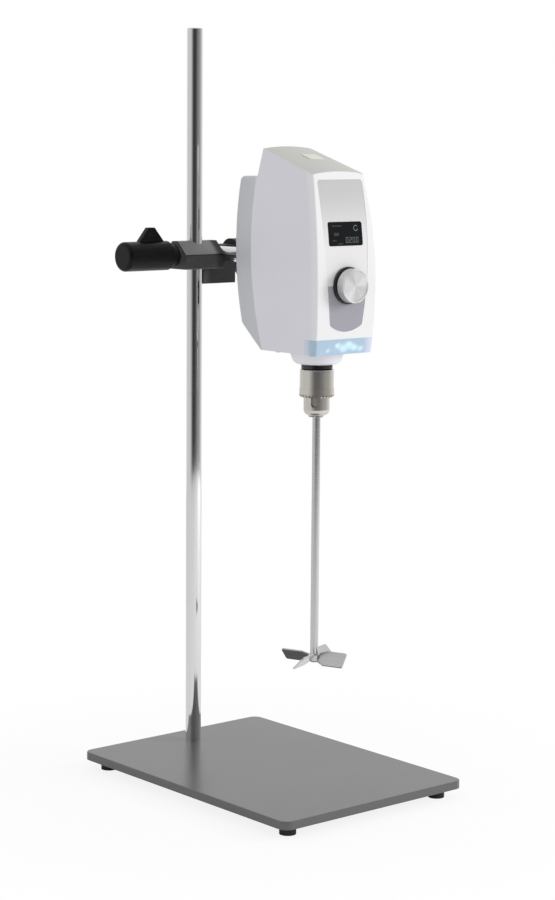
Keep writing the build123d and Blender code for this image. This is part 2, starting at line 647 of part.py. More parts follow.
def clamp_knob(plane, wing_side):
    """Round knob on its screw with one thumb wing; wing_side is +1 for up and -1 for down."""
    start = knob_start(plane)
    wing_middle = start + WING_SETBACK + WING_BASE_WIDTH / 2
    direction = plane.z_dir.X
    with BuildPart() as knob:
        with BuildSketch(plane.offset(start)):
            Circle(KNOB_DIAMETER / 2)
        extrude(amount=KNOB_LENGTH)
        outer_end = 0 if direction < 0 else -1
        fillet(knob.edges().filter_by(GeomType.CIRCLE).group_by(Axis.X)[outer_end], KNOB_ROUND)
        with BuildSketch(Plane.XZ.offset(-plane.origin.Y)):
            with BuildLine():
                middle = plane.origin.X + direction * wing_middle
                root = CLAMP_Z
                shoulder = CLAMP_Z + wing_side * (KNOB_DIAMETER / 2 - 2.0)
                tip = CLAMP_Z + wing_side * (KNOB_DIAMETER / 2 + WING_RISE)
                Polyline((middle - WING_BASE_WIDTH / 2, root), (middle + WING_BASE_WIDTH / 2, root),
                         (middle + WING_BASE_WIDTH / 2, shoulder), (middle + WING_TOP_WIDTH / 2, tip),
                         (middle - WING_TOP_WIDTH / 2, tip), (middle - WING_BASE_WIDTH / 2, shoulder),
                         close=True)
            make_face()
        extrude(amount=WING_THICKNESS / 2, both=True)
        with BuildSketch(plane.offset(start)):
            Circle(CLAMP_SCREW / 2 + RUNNING_FIT)
        extrude(amount=KNOB_BORE_DEPTH, mode=Mode.SUBTRACT)
    return knob


rod_clamp_screw = clamp_screw(rod_screw_plane, ROD_R + TIP_GAP)
rod_clamp_screw.part.label = "rod_clamp_screw"
export_step(rod_clamp_screw.part, "parts/rod_clamp_screw.step")

rod_clamp_knob = clamp_knob(rod_screw_plane, 1)
rod_clamp_knob.part.label = "rod_clamp_knob"
export_step(rod_clamp_knob.part, "parts/rod_clamp_knob.step")

arm_clamp_screw = clamp_screw(arm_screw_plane, ARM_R + TIP_GAP)
arm_clamp_screw.part.label = "arm_clamp_screw"
export_step(arm_clamp_screw.part, "parts/arm_clamp_screw.step")

arm_clamp_knob = clamp_knob(arm_screw_plane, -1)
arm_clamp_knob.part.label = "arm_clamp_knob"
export_step(arm_clamp_knob.part, "parts/arm_clamp_knob.step")

# ---------------------------------------------------------------- support arm and its nut
upright_back_y = CHASSIS_BACK_Y + CHASSIS_BACK
arm_end_y = CRADLE_REAR + ARM_TAIL
nut_front_y = CHASSIS_BACK_Y - ARM_NUT_THICKNESS

with BuildPart() as support_arm:
    with BuildSketch(arm_plane.offset(-arm_end_y)):
        Circle(ARM_R)
    extrude(amount=arm_end_y - upright_back_y)
    chamfer(support_arm.edges().group_by(Axis.Y)[-1], ROD_CHAMFER)
    with BuildSketch(arm_plane.offset(-upright_back_y)):
        Circle(ARM_SPIGOT / 2)
    extrude(amount=upright_back_y - nut_front_y + 1.0)
support_arm.part.label = "support_arm"
export_step(support_arm.part, "parts/support_arm.step")

with BuildPart() as arm_nut:
    with BuildSketch(arm_plane.offset(-CHASSIS_BACK_Y)):
        RegularPolygon(ARM_NUT / 2, 6, major_radius=False)
        Circle(ARM_SPIGOT / 2 + RUNNING_FIT, mode=Mode.SUBTRACT)
    extrude(amount=ARM_NUT_THICKNESS)
arm_nut.part.label = "arm_nut"
export_step(arm_nut.part, "parts/arm_nut.step")

# ---------------------------------------------------------------- chassis
spindle_plane = Plane((HEAD_X, SPINDLE_Y, 0))
case_screw_places = [(HEAD_X + x, y) for x in (-CASE_SCREW_X, CASE_SCREW_X)
                     for y in (CASE_SCREW_FRONT_Y, CASE_SCREW_REAR_Y)]
cover_screw_places = [(HEAD_X + x, z) for x in (-COVER_SCREW_X, COVER_SCREW_X)
                      for z in (COVER_SCREW_LOW_Z, COVER_SCREW_HIGH_Z)]
chassis_front_y = front_at(CHASSIS_Z, BAR_THICKNESS) + LED_DEPTH + BOARD_THICKNESS + 1.5

with BuildPart() as chassis:
    with BuildSketch(Plane.YZ.offset(HEAD_X)):
        with BuildLine():
            rise = CHASSIS_TURN_Z - MOTOR_Z
            Polyline((chassis_front_y, CHASSIS_Z), (CHASSIS_TURN_Y + 3.0, CHASSIS_Z),
                     (upright_back_y, CHASSIS_TURN_Z - CHASSIS_FLOOR / 2), (upright_back_y, CHASSIS_TOP_Z),
                     (CHASSIS_BACK_Y, CHASSIS_TOP_Z), (CHASSIS_BACK_Y, CHASSIS_TURN_Z),
                     (CHASSIS_BACK_Y - rise, MOTOR_Z), (chassis_front_y, MOTOR_Z), close=True)
        make_face()
    extrude(amount=CHASSIS_WIDTH / 2, both=True)
    with BuildSketch(Plane.XY.offset(CHASSIS_Z)):
        with Locations(*case_screw_places):
            Circle(CASE_BOSS / 2)
    extrude(amount=-CHASSIS_GAP)
    with BuildSketch(Plane.XY.offset(CHASSIS_Z - CHASSIS_GAP)):
        with Locations(*case_screw_places):
            Circle(CASE_SCREW / 2 + RUNNING_FIT)
    extrude(amount=CHASSIS_GAP + CHASSIS_FLOOR, mode=Mode.SUBTRACT)
    with BuildSketch(spindle_plane.offset(CHASSIS_Z)):
        Circle(MOTOR_PILOT / 2 + RUNNING_FIT)
        with PolarLocations(MOTOR_SCREW_CIRCLE / 2, 4, start_angle=45):
            Circle(MOTOR_SCREW / 2 + HOLE_PLAY)
    extrude(amount=CHASSIS_FLOOR, mode=Mode.SUBTRACT)
    with BuildSketch(arm_plane.offset(-upright_back_y)):
        Circle(ARM_SPIGOT / 2 + RUNNING_FIT)
    extrude(amount=CHASSIS_BACK, mode=Mode.SUBTRACT)
    with BuildSketch(Plane.XZ.offset(-upright_back_y)):
        with Locations(*cover_screw_places):
            Circle(CASE_SCREW / 2 + RUNNING_FIT)
    extrude(amount=CHASSIS_BACK, mode=Mode.SUBTRACT)
    board_post_z = (POWER_BOARD_Z - POWER_BOARD_HEIGHT / 2 + 5, POWER_BOARD_Z + POWER_BOARD_HEIGHT / 2 - 5)
    board_posts = [(HEAD_X + x, z) for x in (-POWER_BOARD_WIDTH / 2 + 5, POWER_BOARD_WIDTH / 2 - 5)
                   for z in board_post_z]
    with BuildSketch(Plane.XZ.offset(-CHASSIS_BACK_Y)):
        with Locations(*board_posts):
            Circle(STANDOFF / 2)
    extrude(amount=POWER_BOARD_GAP)
chassis.part.label = "chassis"
export_step(chassis.part, "parts/chassis.step")

# ---------------------------------------------------------------- main shell and rear cover
shell_outer = main_form(0.0)
shell_inner = main_form(WALL, opening=WALL)
panel_pocket = main_form(PANEL_RECESS + PANEL_THICKNESS, opening=WALL)
panel_cut = panel_outline()
module_width = DISPLAY_WIDTH + 2 * MODULE_MARGIN
bar_top_z = HEAD_BOTTOM + BAR_HEIGHT
bar_back_y = FRONT_Y + BAR_REACH

with BuildPart() as main_shell:
    add(shell_outer.part)
    front_edges = main_shell.edges().filter_by(lambda e: e.center().Y < bar_back_y)
    front_corners = front_edges.filter_by(lambda e: e.length > long_edge)
    fillet(front_corners, FRONT_ROUND)
    add(shell_inner.part, mode=Mode.SUBTRACT)
    with BuildSketch(spindle_plane.offset(HEAD_BOTTOM)):
        Circle(COLLAR_SPIGOT / 2 + HOLE_PLAY)
    extrude(amount=WALL, mode=Mode.SUBTRACT)
    with BuildSketch(Plane.XY.offset(HEAD_BOTTOM)):
        with Locations(*case_screw_places):
            Circle(CASE_SCREW / 2 + HOLE_PLAY)
    extrude(amount=WALL, mode=Mode.SUBTRACT)
    with BuildSketch(Plane.XZ.offset(-FRONT_Y - WALL)):
        with Locations((HEAD_X, DISPLAY_Z)):
            RectangleRounded(DISPLAY_WIDTH, DISPLAY_HEIGHT, DISPLAY_ROUND)
        with Locations((HEAD_X, DIAL_Z)):
            Circle(ENCODER_BUSH / 2 + HOLE_PLAY)
    extrude(amount=6 * WALL, both=True, mode=Mode.SUBTRACT)
    with BuildSketch(Plane.XY.offset(HEAD_BOTTOM)):
        with Locations((HEAD_X, bar_back_y)):
            Rectangle(3 * SIDE_HALF, BAR_REACH * 2, align=(Align.CENTER, Align.MAX))
    extrude(amount=BAR_HEIGHT, mode=Mode.SUBTRACT)
    front_wall = extrude(panel_cut.sketch, amount=-2 * FRONT_Y, mode=Mode.PRIVATE)
    pocket = front_wall - panel_pocket.part
    add(pocket, mode=Mode.SUBTRACT)
main_shell.part.label = "main_shell"
export_step(main_shell.part, "parts/main_shell.step")

cover_outer = cover_form(0.0)
cover_inner = cover_form(WALL, opening=WALL)
inlet_pad_y = back_at(INLET_Z + INLET_FLANGE[1] / 2) + SEAT_GAP
switch_pad_y = back_at(SWITCH_Z - SWITCH_FLANGE[1] / 2) + SEAT_GAP

with BuildPart() as rear_cover:
    add(cover_outer.part)
    rear_edges = rear_cover.edges().filter_by(lambda e: e.center().Y > PARTING_Y + COVER_DEPTH / 2)
    fillet(rear_edges.filter_by(lambda e: e.length > long_edge), REAR_ROUND)
    top_edges = rear_cover.edges().filter_by(lambda e: e.center().Z > SHOULDER_Z - SEAT_GAP)
    fillet(top_edges.filter_by(lambda e: e.center().Y > PARTING_Y), COVER_TOP_ROUND)
    add(cover_inner.part, mode=Mode.SUBTRACT)
    for x, z in cover_screw_places:
        with BuildSketch(Plane.XZ.offset(-upright_back_y)):
            with Locations((x, z)):
                Circle(COVER_POST / 2)
        extrude(amount=upright_back_y - back_at(z, WALL / 2))
    with BuildSketch(Plane.XZ.offset(-inlet_pad_y)):
        with Locations((HEAD_X, INLET_Z)):
            Rectangle(INLET_FLANGE[0] + 2, INLET_FLANGE[1] + 2)
    extrude(amount=inlet_pad_y - back_at(INLET_Z - INLET_FLANGE[1] / 2 - 1, WALL))
    with BuildSketch(Plane.XZ.offset(-switch_pad_y)):
        with Locations((HEAD_X, SWITCH_Z)):
            Rectangle(SWITCH_FLANGE[0] + 2, SWITCH_FLANGE[1] + 2)
    extrude(amount=switch_pad_y - back_at(SWITCH_Z + SWITCH_FLANGE[1] / 2 + 1, WALL))
    with BuildSketch(Plane.XZ.offset(-upright_back_y)):
        with Locations((HEAD_X, INLET_Z)):
            Rectangle(INLET_BODY[0] + 2 * HOLE_PLAY, INLET_BODY[1] + 2 * HOLE_PLAY)
        with Locations((HEAD_X, SWITCH_Z)):
            Rectangle(SWITCH_BODY[0] + 2 * HOLE_PLAY, SWITCH_BODY[1] + 2 * HOLE_PLAY)
        with Locations((HEAD_X, CLAMP_Z)):
            Circle(ARM_R + 2 * HOLE_PLAY)
        with Locations(*cover_screw_places):
            Circle(CASE_SCREW / 2 + HOLE_PLAY)
    extrude(amount=-COVER_DEPTH, mode=Mode.SUBTRACT)
rear_cover.part.label = "rear_cover"
export_step(rear_cover.part, "parts/rear_cover.step")

with BuildPart() as case_screws:
    with BuildSketch(Plane.XY.offset(HEAD_BOTTOM - CASE_SCREW_HEAD_HEIGHT)):
        with Locations(*case_screw_places):
            Circle(CASE_SCREW_HEAD / 2)
            Rectangle(CASE_SCREW_HEAD * 0.7, CASE_SCREW_HEAD_HEIGHT / 2, mode=Mode.SUBTRACT)
    extrude(amount=CASE_SCREW_HEAD_HEIGHT / 2)
    with BuildSketch(Plane.XY.offset(HEAD_BOTTOM - CASE_SCREW_HEAD_HEIGHT / 2)):
        with Locations(*case_screw_places):
            Circle(CASE_SCREW_HEAD / 2)
    extrude(amount=CASE_SCREW_HEAD_HEIGHT / 2)
    with BuildSketch(Plane.XY.offset(HEAD_BOTTOM)):
        with Locations(*case_screw_places):
            Circle(CASE_SCREW / 2)
    extrude(amount=WALL + CHASSIS_GAP + CHASSIS_FLOOR - SCREW_END_GAP)
case_screws.part.label = "case_screws"
export_step(case_screws.part, "parts/case_screws.step")

with BuildPart() as cover_screws:
    for x, z in cover_screw_places:
        seat = back_at(z) + SEAT_GAP / 2 + (CASE_SCREW_HEAD / 2) * abs(z - PARTING_Z) / BACK_BOW
        with BuildSketch(Plane.XZ.offset(-seat)):
            with Locations((x, z)):
                Circle(CASE_SCREW_HEAD / 2)
        extrude(amount=-CASE_SCREW_HEAD_HEIGHT)
        with BuildSketch(Plane.XZ.offset(-seat)):
            with Locations((x, z)):
                Circle(CASE_SCREW / 2)
        extrude(amount=seat - CHASSIS_BACK_Y - SCREW_END_GAP)
cover_screws.part.label = "cover_screws"
export_step(cover_screws.part, "parts/cover_screws.step")

# ---------------------------------------------------------------- front panel, display and dial
panel_skin = main_form(PANEL_RECESS, opening=WALL)
window_skin = main_form(0.0, opening=WALL)
window_back = main_form(WINDOW_THICKNESS, opening=WALL)
panel_solid = extrude(panel_outline(PANEL_PLAY).sketch, amount=-2 * FRONT_Y)
panel_sheet = (panel_skin.part - panel_pocket.part) & panel_solid

for name, low, high in (("front_panel", DIAL_Z, PANEL_TOP_Z), ("lower_panel", PANEL_BOTTOM_Z, DIAL_Z)):
    with BuildPart() as panel:
        add(panel_sheet)
        with BuildSketch(Plane.XY.offset(low)):
            with Locations((HEAD_X, FRONT_Y)):
                Rectangle(4 * SIDE_HALF, -FRONT_Y)
        extrude(amount=high - low, mode=Mode.INTERSECT)
        with BuildSketch(Plane.XZ.offset(-FRONT_Y - WALL)):
            with Locations((HEAD_X, DISPLAY_Z)):
                RectangleRounded(DISPLAY_WIDTH, DISPLAY_HEIGHT, DISPLAY_ROUND)
            with Locations((HEAD_X, DIAL_Z)):
                Circle(ENCODER_BUSH / 2 + HOLE_PLAY)
        extrude(amount=6 * WALL, both=True, mode=Mode.SUBTRACT)
    panel.part.label = name
    export_step(panel.part, f"parts/{name}.step")

with BuildPart() as display_window:
    with BuildSketch(Plane.XZ):
        with Locations((HEAD_X, DISPLAY_Z)):
            RectangleRounded(DISPLAY_WIDTH - 2 * PANEL_PLAY, DISPLAY_HEIGHT - 2 * PANEL_PLAY, DISPLAY_ROUND)
    extrude(amount=-2 * FRONT_Y)
    add(window_skin.part, mode=Mode.INTERSECT)
    add(window_back.part, mode=Mode.SUBTRACT)
display_window.part.label = "display_window"
export_step(display_window.part, "parts/display_window.step")

control_board_y = front_at(CONTROL_BOARD_Z + CONTROL_BOARD_HEIGHT / 2, WALL) + CONTROL_BOARD_GAP
with BuildPart() as control_board:
    with BuildSketch(Plane.XZ.offset(-control_board_y)):
        with Locations((HEAD_X, CONTROL_BOARD_Z)):
            Rectangle(CONTROL_BOARD_WIDTH, CONTROL_BOARD_HEIGHT)
    extrude(amount=-BOARD_THICKNESS)
    for side in (1, -1):
        z = CONTROL_BOARD_Z + side * (CONTROL_BOARD_HEIGHT / 2 - STANDOFF)
        with BuildSketch(Plane.XZ.offset(-control_board_y)):
            with Locations((HEAD_X - CONTROL_POST_X, z), (HEAD_X + CONTROL_POST_X, z)):
                Circle(STANDOFF / 2)
        extrude(amount=control_board_y - front_at(z + side * STANDOFF / 2, WALL) - SEAT_GAP)
control_board.part.label = "control_board"
export_step(control_board.part, "parts/control_board.step")

module_back_y = control_board_y
module_front_y = module_back_y - MODULE_THICKNESS
with BuildPart() as display_module:
    with BuildSketch(Plane.XZ.offset(-module_back_y)):
        with Locations((HEAD_X, DISPLAY_Z)):
            Rectangle(module_width, DISPLAY_HEIGHT + 2 * MODULE_MARGIN)
    extrude(amount=MODULE_THICKNESS)
    with BuildSketch(Plane.XZ.offset(-module_front_y)):
        with Locations((HEAD_X, DISPLAY_Z)):
            Rectangle(DISPLAY_WIDTH - 2, DISPLAY_HEIGHT - 2)
    window_back_y = front_at(DISPLAY_Z + DISPLAY_HEIGHT / 2, WINDOW_THICKNESS)
    extrude(amount=module_front_y - window_back_y - SEAT_GAP)
display_module.part.label = "display_module"
export_step(display_module.part, "parts/display_module.step")

encoder_face_y = control_board_y - ENCODER_DEPTH
with BuildPart() as encoder:
    with BuildSketch(Plane.XZ.offset(-control_board_y)):
        with Locations((HEAD_X, DIAL_Z)):
            Rectangle(ENCODER_SIZE, ENCODER_SIZE)
    extrude(amount=ENCODER_DEPTH)
    with BuildSketch(Plane.XZ.offset(-encoder_face_y)):
        with Locations((HEAD_X, DIAL_Z)):
            Circle(ENCODER_BUSH / 2)
    extrude(amount=encoder_face_y - DIAL_RING_Y - SEAT_GAP)
    with BuildSketch(Plane.XZ.offset(-control_board_y + 1.0)):
        with Locations((HEAD_X, DIAL_Z)):
            Circle(ENCODER_SHAFT / 2 + RUNNING_FIT)
    extrude(amount=4 * DIAL_RING_THICKNESS + ENCODER_DEPTH, mode=Mode.SUBTRACT)
encoder.part.label = "encoder"
export_step(encoder.part, "parts/encoder.step")

with BuildPart() as dial_ring:
    with BuildSketch(Plane.XZ.offset(-FRONT_Y)):
        with Locations((HEAD_X, DIAL_Z)):
            Circle(DIAL_RING / 2)
            Circle(ENCODER_BUSH / 2 + HOLE_PLAY, mode=Mode.SUBTRACT)
    extrude(amount=DIAL_RING_THICKNESS)
    chamfer(dial_ring.edges().group_by(Axis.Y)[0].sort_by(SortBy.LENGTH)[-1], 0.6)
dial_ring.part.label = "dial_ring"
export_step(dial_ring.part, "parts/dial_ring.step")

shaft_back_y = control_board_y - 1.0 - DIAL_PRESS - SEAT_GAP
with BuildPart() as encoder_shaft:
    with BuildSketch(Plane.XZ.offset(-shaft_back_y)):
        with Locations((HEAD_X, DIAL_Z)):
            Circle(ENCODER_SHAFT / 2)
    extrude(amount=shaft_back_y - DIAL_BACK_Y + SHAFT_IN_DIAL)
encoder_shaft.part.label = "encoder_shaft"
export_step(encoder_shaft.part, "parts/encoder_shaft.step")

with BuildPart() as control_dial:
    with BuildSketch(Plane.XZ.offset(-DIAL_BACK_Y)):
        with Locations((HEAD_X, DIAL_Z)):
            Circle(DIAL_DIAMETER / 2)
    extrude(amount=DIAL_LENGTH)
    fillet(control_dial.edges().group_by(Axis.Y)[0], DIAL_ROUND)
    with BuildSketch(Plane.XZ.offset(-DIAL_BACK_Y + DIAL_LENGTH)):
        with Locations((HEAD_X, DIAL_Z)):
            Circle(DIAL_DIAMETER / 2 - 2 * DIAL_ROUND)
    extrude(amount=-DIAL_DISH, mode=Mode.SUBTRACT)
    with BuildSketch(Plane.XZ.offset(-DIAL_BACK_Y)):
        with Locations((HEAD_X, DIAL_Z)):
            Circle(ENCODER_SHAFT / 2 + RUNNING_FIT)
    extrude(amount=SHAFT_IN_DIAL + SEAT_GAP, mode=Mode.SUBTRACT)
control_dial.part.label = "control_dial"
export_step(control_dial.part, "parts/control_dial.step")

# ---------------------------------------------------------------- light bar and its board
bar_inner = main_form(BAR_THICKNESS, opening=WALL)
with BuildPart() as light_bar:
    with BuildSketch(Plane.XY.offset(HEAD_BOTTOM)):
        with Locations((HEAD_X, bar_back_y)):
            Rectangle(3 * SIDE_HALF, BAR_REACH * 2, align=(Align.CENTER, Align.MAX))
    extrude(amount=BAR_HEIGHT)
    add(shell_outer.part, mode=Mode.INTERSECT)
    corners = light_bar.edges().filter_by(lambda e: e.center().Y < FRONT_Y + 6 and e.length < BAR_HEIGHT + 2)
    fillet(corners.filter_by(lambda e: e.length > BAR_HEIGHT - 1), FRONT_ROUND)
    add(bar_inner.part, mode=Mode.SUBTRACT)
light_bar.part.label = "light_bar"
export_step(light_bar.part, "parts/light_bar.step")

led_board_z = CHASSIS_Z + LED_BOARD_HEIGHT / 2
with BuildPart() as led_board:
    with BuildSketch(Plane.XZ.offset(-chassis_front_y)):
        with Locations((HEAD_X, led_board_z)):
            Rectangle(LED_BOARD_WIDTH, LED_BOARD_HEIGHT)
    extrude(amount=BOARD_THICKNESS)
    with BuildSketch(Plane.XZ.offset(-chassis_front_y + BOARD_THICKNESS)):
        with Locations((HEAD_X, led_board_z)):
            with GridLocations(LED_PITCH, 1, LED_COUNT, 1):
                Rectangle(LED_SIZE, LED_SIZE)
    extrude(amount=LED_DEPTH)
led_board.part.label = "led_board"
export_step(led_board.part, "parts/led_board.step")

with BuildPart() as top_plate:
    with BuildSketch(Plane.XY.offset(SHOULDER_Z)):
        with Locations((TOP_PLATE_X, TOP_PLATE_Y)):
            RectangleRounded(TOP_PLATE_WIDTH, TOP_PLATE_DEPTH, TOP_PLATE_ROUND)
    extrude(amount=2 * COVER_DEPTH)
    add(main_form(-TOP_PLATE_THICKNESS, opening=WALL).part, mode=Mode.INTERSECT)
    add(main_form(0.0, opening=2 * WALL).part, mode=Mode.SUBTRACT)
top_plate.part.label = "top_plate"
export_step(top_plate.part, "parts/top_plate.step")

# ---------------------------------------------------------------- motor
motor_r = MOTOR_DIAMETER / 2
stator_r = motor_r - MOTOR_WALL
rotor_r = ROTOR_DIAMETER / 2
bearing_r = BEARING_OUTER / 2
spindle_r = SPINDLE_DIAMETER / 2

with BuildPart() as motor_housing:
    with BuildSketch(spindle_plane.offset(MOTOR_Z)):
        Circle(motor_r)
    extrude(amount=MOTOR_HEIGHT)
    with BuildSketch(spindle_plane.offset(MOTOR_Z)):
        Circle(MOTOR_PILOT / 2)
    extrude(amount=-PILOT_DEPTH)
    with BuildSketch(spindle_plane.offset(MOTOR_Z + MOTOR_FLOOR)):
        Circle(stator_r)
    extrude(amount=MOTOR_HEIGHT, mode=Mode.SUBTRACT)
    with BuildSketch(spindle_plane.offset(LOWER_BEARING_Z)):
        Circle(bearing_r)
    extrude(amount=BEARING_WIDTH, mode=Mode.SUBTRACT)
    with BuildSketch(spindle_plane.offset(MOTOR_Z - PILOT_DEPTH)):
        Circle(bearing_r - BEARING_RACE)
    extrude(amount=MOTOR_FLOOR, mode=Mode.SUBTRACT)
    with BuildSketch(spindle_plane.offset(MOTOR_Z)):
        with PolarLocations(MOTOR_SCREW_CIRCLE / 2, 4, start_angle=45):
            Circle(MOTOR_SCREW / 2 + RUNNING_FIT)
    extrude(amount=MOTOR_SCREW_BITE, mode=Mode.SUBTRACT)
motor_housing.part.label = "motor_housing"
export_step(motor_housing.part, "parts/motor_housing.step")

with BuildPart() as motor_cap:
    with BuildSketch(spindle_plane.offset(MOTOR_TOP_Z)):
        Circle(motor_r)
    extrude(amount=MOTOR_CAP)
    with BuildSketch(spindle_plane.offset(MOTOR_TOP_Z)):
        Circle(stator_r - RUNNING_FIT)
        Circle(bearing_r + MOTOR_WALL, mode=Mode.ADD)
    extrude(amount=-BEARING_WIDTH / 2)
    with BuildSketch(spindle_plane.offset(UPPER_BEARING_Z)):
        Circle(bearing_r)
    extrude(amount=BEARING_WIDTH, mode=Mode.SUBTRACT)
    with BuildSketch(spindle_plane.offset(MOTOR_TOP_Z)):
        Circle(bearing_r - BEARING_RACE)
    extrude(amount=MOTOR_CAP, mode=Mode.SUBTRACT)
    with BuildSketch(spindle_plane.offset(MOTOR_TOP_Z + MOTOR_CAP)):
        with PolarLocations(STANDOFF_CIRCLE / 2, 3, start_angle=90):
            Circle(STANDOFF / 2)
    extrude(amount=DRIVE_BOARD_LIFT)
motor_cap.part.label = "motor_cap"
export_step(motor_cap.part, "parts/motor_cap.step")

for name, z in (("lower_bearing", LOWER_BEARING_Z), ("upper_bearing", UPPER_BEARING_Z)):
    with BuildPart() as bearing:
        for outer, inner in ((bearing_r, bearing_r - BEARING_RACE),
                             (spindle_r + BEARING_RACE, spindle_r + RUNNING_FIT)):
            with BuildSketch(spindle_plane.offset(z)):
                Circle(outer)
                Circle(inner, mode=Mode.SUBTRACT)
            extrude(amount=BEARING_WIDTH)
        with BuildSketch(spindle_plane.offset(z + BEARING_WIDTH / 4)):
            Circle(bearing_r - BEARING_RACE)
            Circle(spindle_r + BEARING_RACE, mode=Mode.SUBTRACT)
        extrude(amount=BEARING_WIDTH / 2)
    bearing.part.label = name
    export_step(bearing.part, f"parts/{name}.step")

tooth_length = stator_r - STATOR_BACK_IRON - rotor_r - AIR_GAP
tooth_middle = rotor_r + AIR_GAP + tooth_length / 2
with BuildPart() as motor_stator:
    with BuildSketch(spindle_plane.offset(STATOR_Z)):
        Circle(stator_r)
        Circle(stator_r - STATOR_BACK_IRON, mode=Mode.SUBTRACT)
        with PolarLocations(tooth_middle, STATOR_TEETH):
            Rectangle(tooth_length + 1.0, TOOTH_WIDTH)
        Circle(rotor_r + AIR_GAP, mode=Mode.SUBTRACT)
    extrude(amount=STATOR_LENGTH)
motor_stator.part.label = "motor_stator"
export_step(motor_stator.part, "parts/motor_stator.step")

coil_length = tooth_length - 2.0
with BuildPart() as motor_coils:
    with BuildSketch(spindle_plane.offset(STATOR_Z - COIL_OVERHANG)):
        with PolarLocations(tooth_middle, STATOR_TEETH):
            Rectangle(coil_length, TOOTH_WIDTH + 2 * COIL_THICKNESS)
    extrude(amount=STATOR_LENGTH + 2 * COIL_OVERHANG)
    with BuildSketch(spindle_plane.offset(STATOR_Z)):
        with PolarLocations(tooth_middle, STATOR_TEETH):
            Rectangle(coil_length + 1, TOOTH_WIDTH)
    extrude(amount=STATOR_LENGTH, mode=Mode.SUBTRACT)
motor_coils.part.label = "motor_coils"
export_step(motor_coils.part, "parts/motor_coils.step")

with BuildPart() as motor_rotor:
    with BuildSketch(spindle_plane.offset(STATOR_Z)):
        Circle(rotor_r)
        Circle(spindle_r, mode=Mode.SUBTRACT)
    extrude(amount=STATOR_LENGTH)
motor_rotor.part.label = "motor_rotor"
export_step(motor_rotor.part, "parts/motor_rotor.step")

with BuildPart() as spindle:
    with BuildSketch(spindle_plane.offset(SPINDLE_BOTTOM_Z)):
        Circle(spindle_r)
    extrude(amount=SPINDLE_TOP_Z - SPINDLE_BOTTOM_Z)
    chamfer(spindle.edges().filter_by(GeomType.CIRCLE), 0.5)
spindle.part.label = "spindle"
export_step(spindle.part, "parts/spindle.step")

with BuildPart() as motor_screws:
    with BuildSketch(spindle_plane.offset(CHASSIS_Z - MOTOR_SCREW / 2)):
        with PolarLocations(MOTOR_SCREW_CIRCLE / 2, 4, start_angle=45):
            Circle(MOTOR_SCREW * 0.9)
    extrude(amount=MOTOR_SCREW / 2)
    with BuildSketch(spindle_plane.offset(CHASSIS_Z)):
        with PolarLocations(MOTOR_SCREW_CIRCLE / 2, 4, start_angle=45):
            Circle(MOTOR_SCREW / 2)
    extrude(amount=CHASSIS_FLOOR + MOTOR_SCREW_BITE - SEAT_GAP)
motor_screws.part.label = "motor_screws"
export_step(motor_screws.part, "parts/motor_screws.step")

drive_board_z = MOTOR_TOP_Z + MOTOR_CAP + DRIVE_BOARD_LIFT
with BuildPart() as drive_board:
    with BuildSketch(spindle_plane.offset(drive_board_z)):
        Circle(DRIVE_BOARD_DIAMETER / 2)
        Circle(DRIVE_BOARD_BORE / 2, mode=Mode.SUBTRACT)
    extrude(amount=BOARD_THICKNESS)
    with BuildSketch(spindle_plane.offset(drive_board_z + BOARD_THICKNESS)):
        with PolarLocations(DRIVE_BOARD_DIAMETER / 2 - 6.5, 6):
            Rectangle(6.0, 6.0)
    extrude(amount=2.5)
drive_board.part.label = "drive_board"
export_step(drive_board.part, "parts/drive_board.step")

# ---------------------------------------------------------------- collar and shaft seal
with BuildPart() as collar:
    with BuildSketch(spindle_plane.offset(HEAD_BOTTOM)):
        Circle(COLLAR_TOP / 2)
    with BuildSketch(spindle_plane.offset(HEAD_BOTTOM - COLLAR_HEIGHT)):
        Circle(COLLAR_BOTTOM / 2)
    loft()
    fillet(collar.edges().group_by(Axis.Z)[0], COLLAR_ROUND)
    with BuildSketch(spindle_plane.offset(HEAD_BOTTOM)):
        Circle(COLLAR_SPIGOT / 2)
    extrude(amount=WALL + CHASSIS_GAP)
    with BuildSketch(spindle_plane.offset(HEAD_BOTTOM - COLLAR_HEIGHT)):
        Circle(COLLAR_BORE / 2)
    extrude(amount=2 * COLLAR_HEIGHT, mode=Mode.SUBTRACT)
    with BuildSketch(spindle_plane.offset(CHASSIS_Z)):
        Circle(MOTOR_PILOT / 2 + HOLE_PLAY)
    extrude(amount=-PILOT_DEPTH, mode=Mode.SUBTRACT)
    with BuildSketch(spindle_plane.offset(CHASSIS_Z)):
        with PolarLocations(MOTOR_SCREW_CIRCLE / 2, 4, start_angle=45):
            Circle(MOTOR_SCREW + HOLE_PLAY)
    extrude(amount=-MOTOR_SCREW / 2 - HOLE_PLAY, mode=Mode.SUBTRACT)
    with BuildSketch(spindle_plane.offset(CHASSIS_Z - PILOT_DEPTH - SEAL_HEIGHT)):
        Circle(SEAL_OUTER / 2)
    extrude(amount=SEAL_HEIGHT, mode=Mode.SUBTRACT)
collar.part.label = "collar"
export_step(collar.part, "parts/collar.step")

with BuildPart() as shaft_seal:
    with BuildSketch(spindle_plane.offset(CHASSIS_Z - PILOT_DEPTH - SEAL_HEIGHT)):
        Circle(SEAL_OUTER / 2)
        Circle(spindle_r + RUNNING_FIT, mode=Mode.SUBTRACT)
    extrude(amount=SEAL_HEIGHT)
shaft_seal.part.label = "shaft_seal"
export_step(shaft_seal.part, "parts/shaft_seal.step")

# ---------------------------------------------------------------- key chuck
core_r = CHUCK_CORE / 2
jaw_r = JAW_DIAMETER / 2
jaw_tip_z = NOSE_BOTTOM_Z - JAW_TIP_DROP
jaw_angles = [KEY_HOLE_ANGLE - 60 + 120 * k for k in range(3)]
jaw_lean = radians(JAW_ANGLE)
jaw_travel = JAW_OPENING / sin(jaw_lean)
shaft_r = SHAFT_DIAMETER / 2


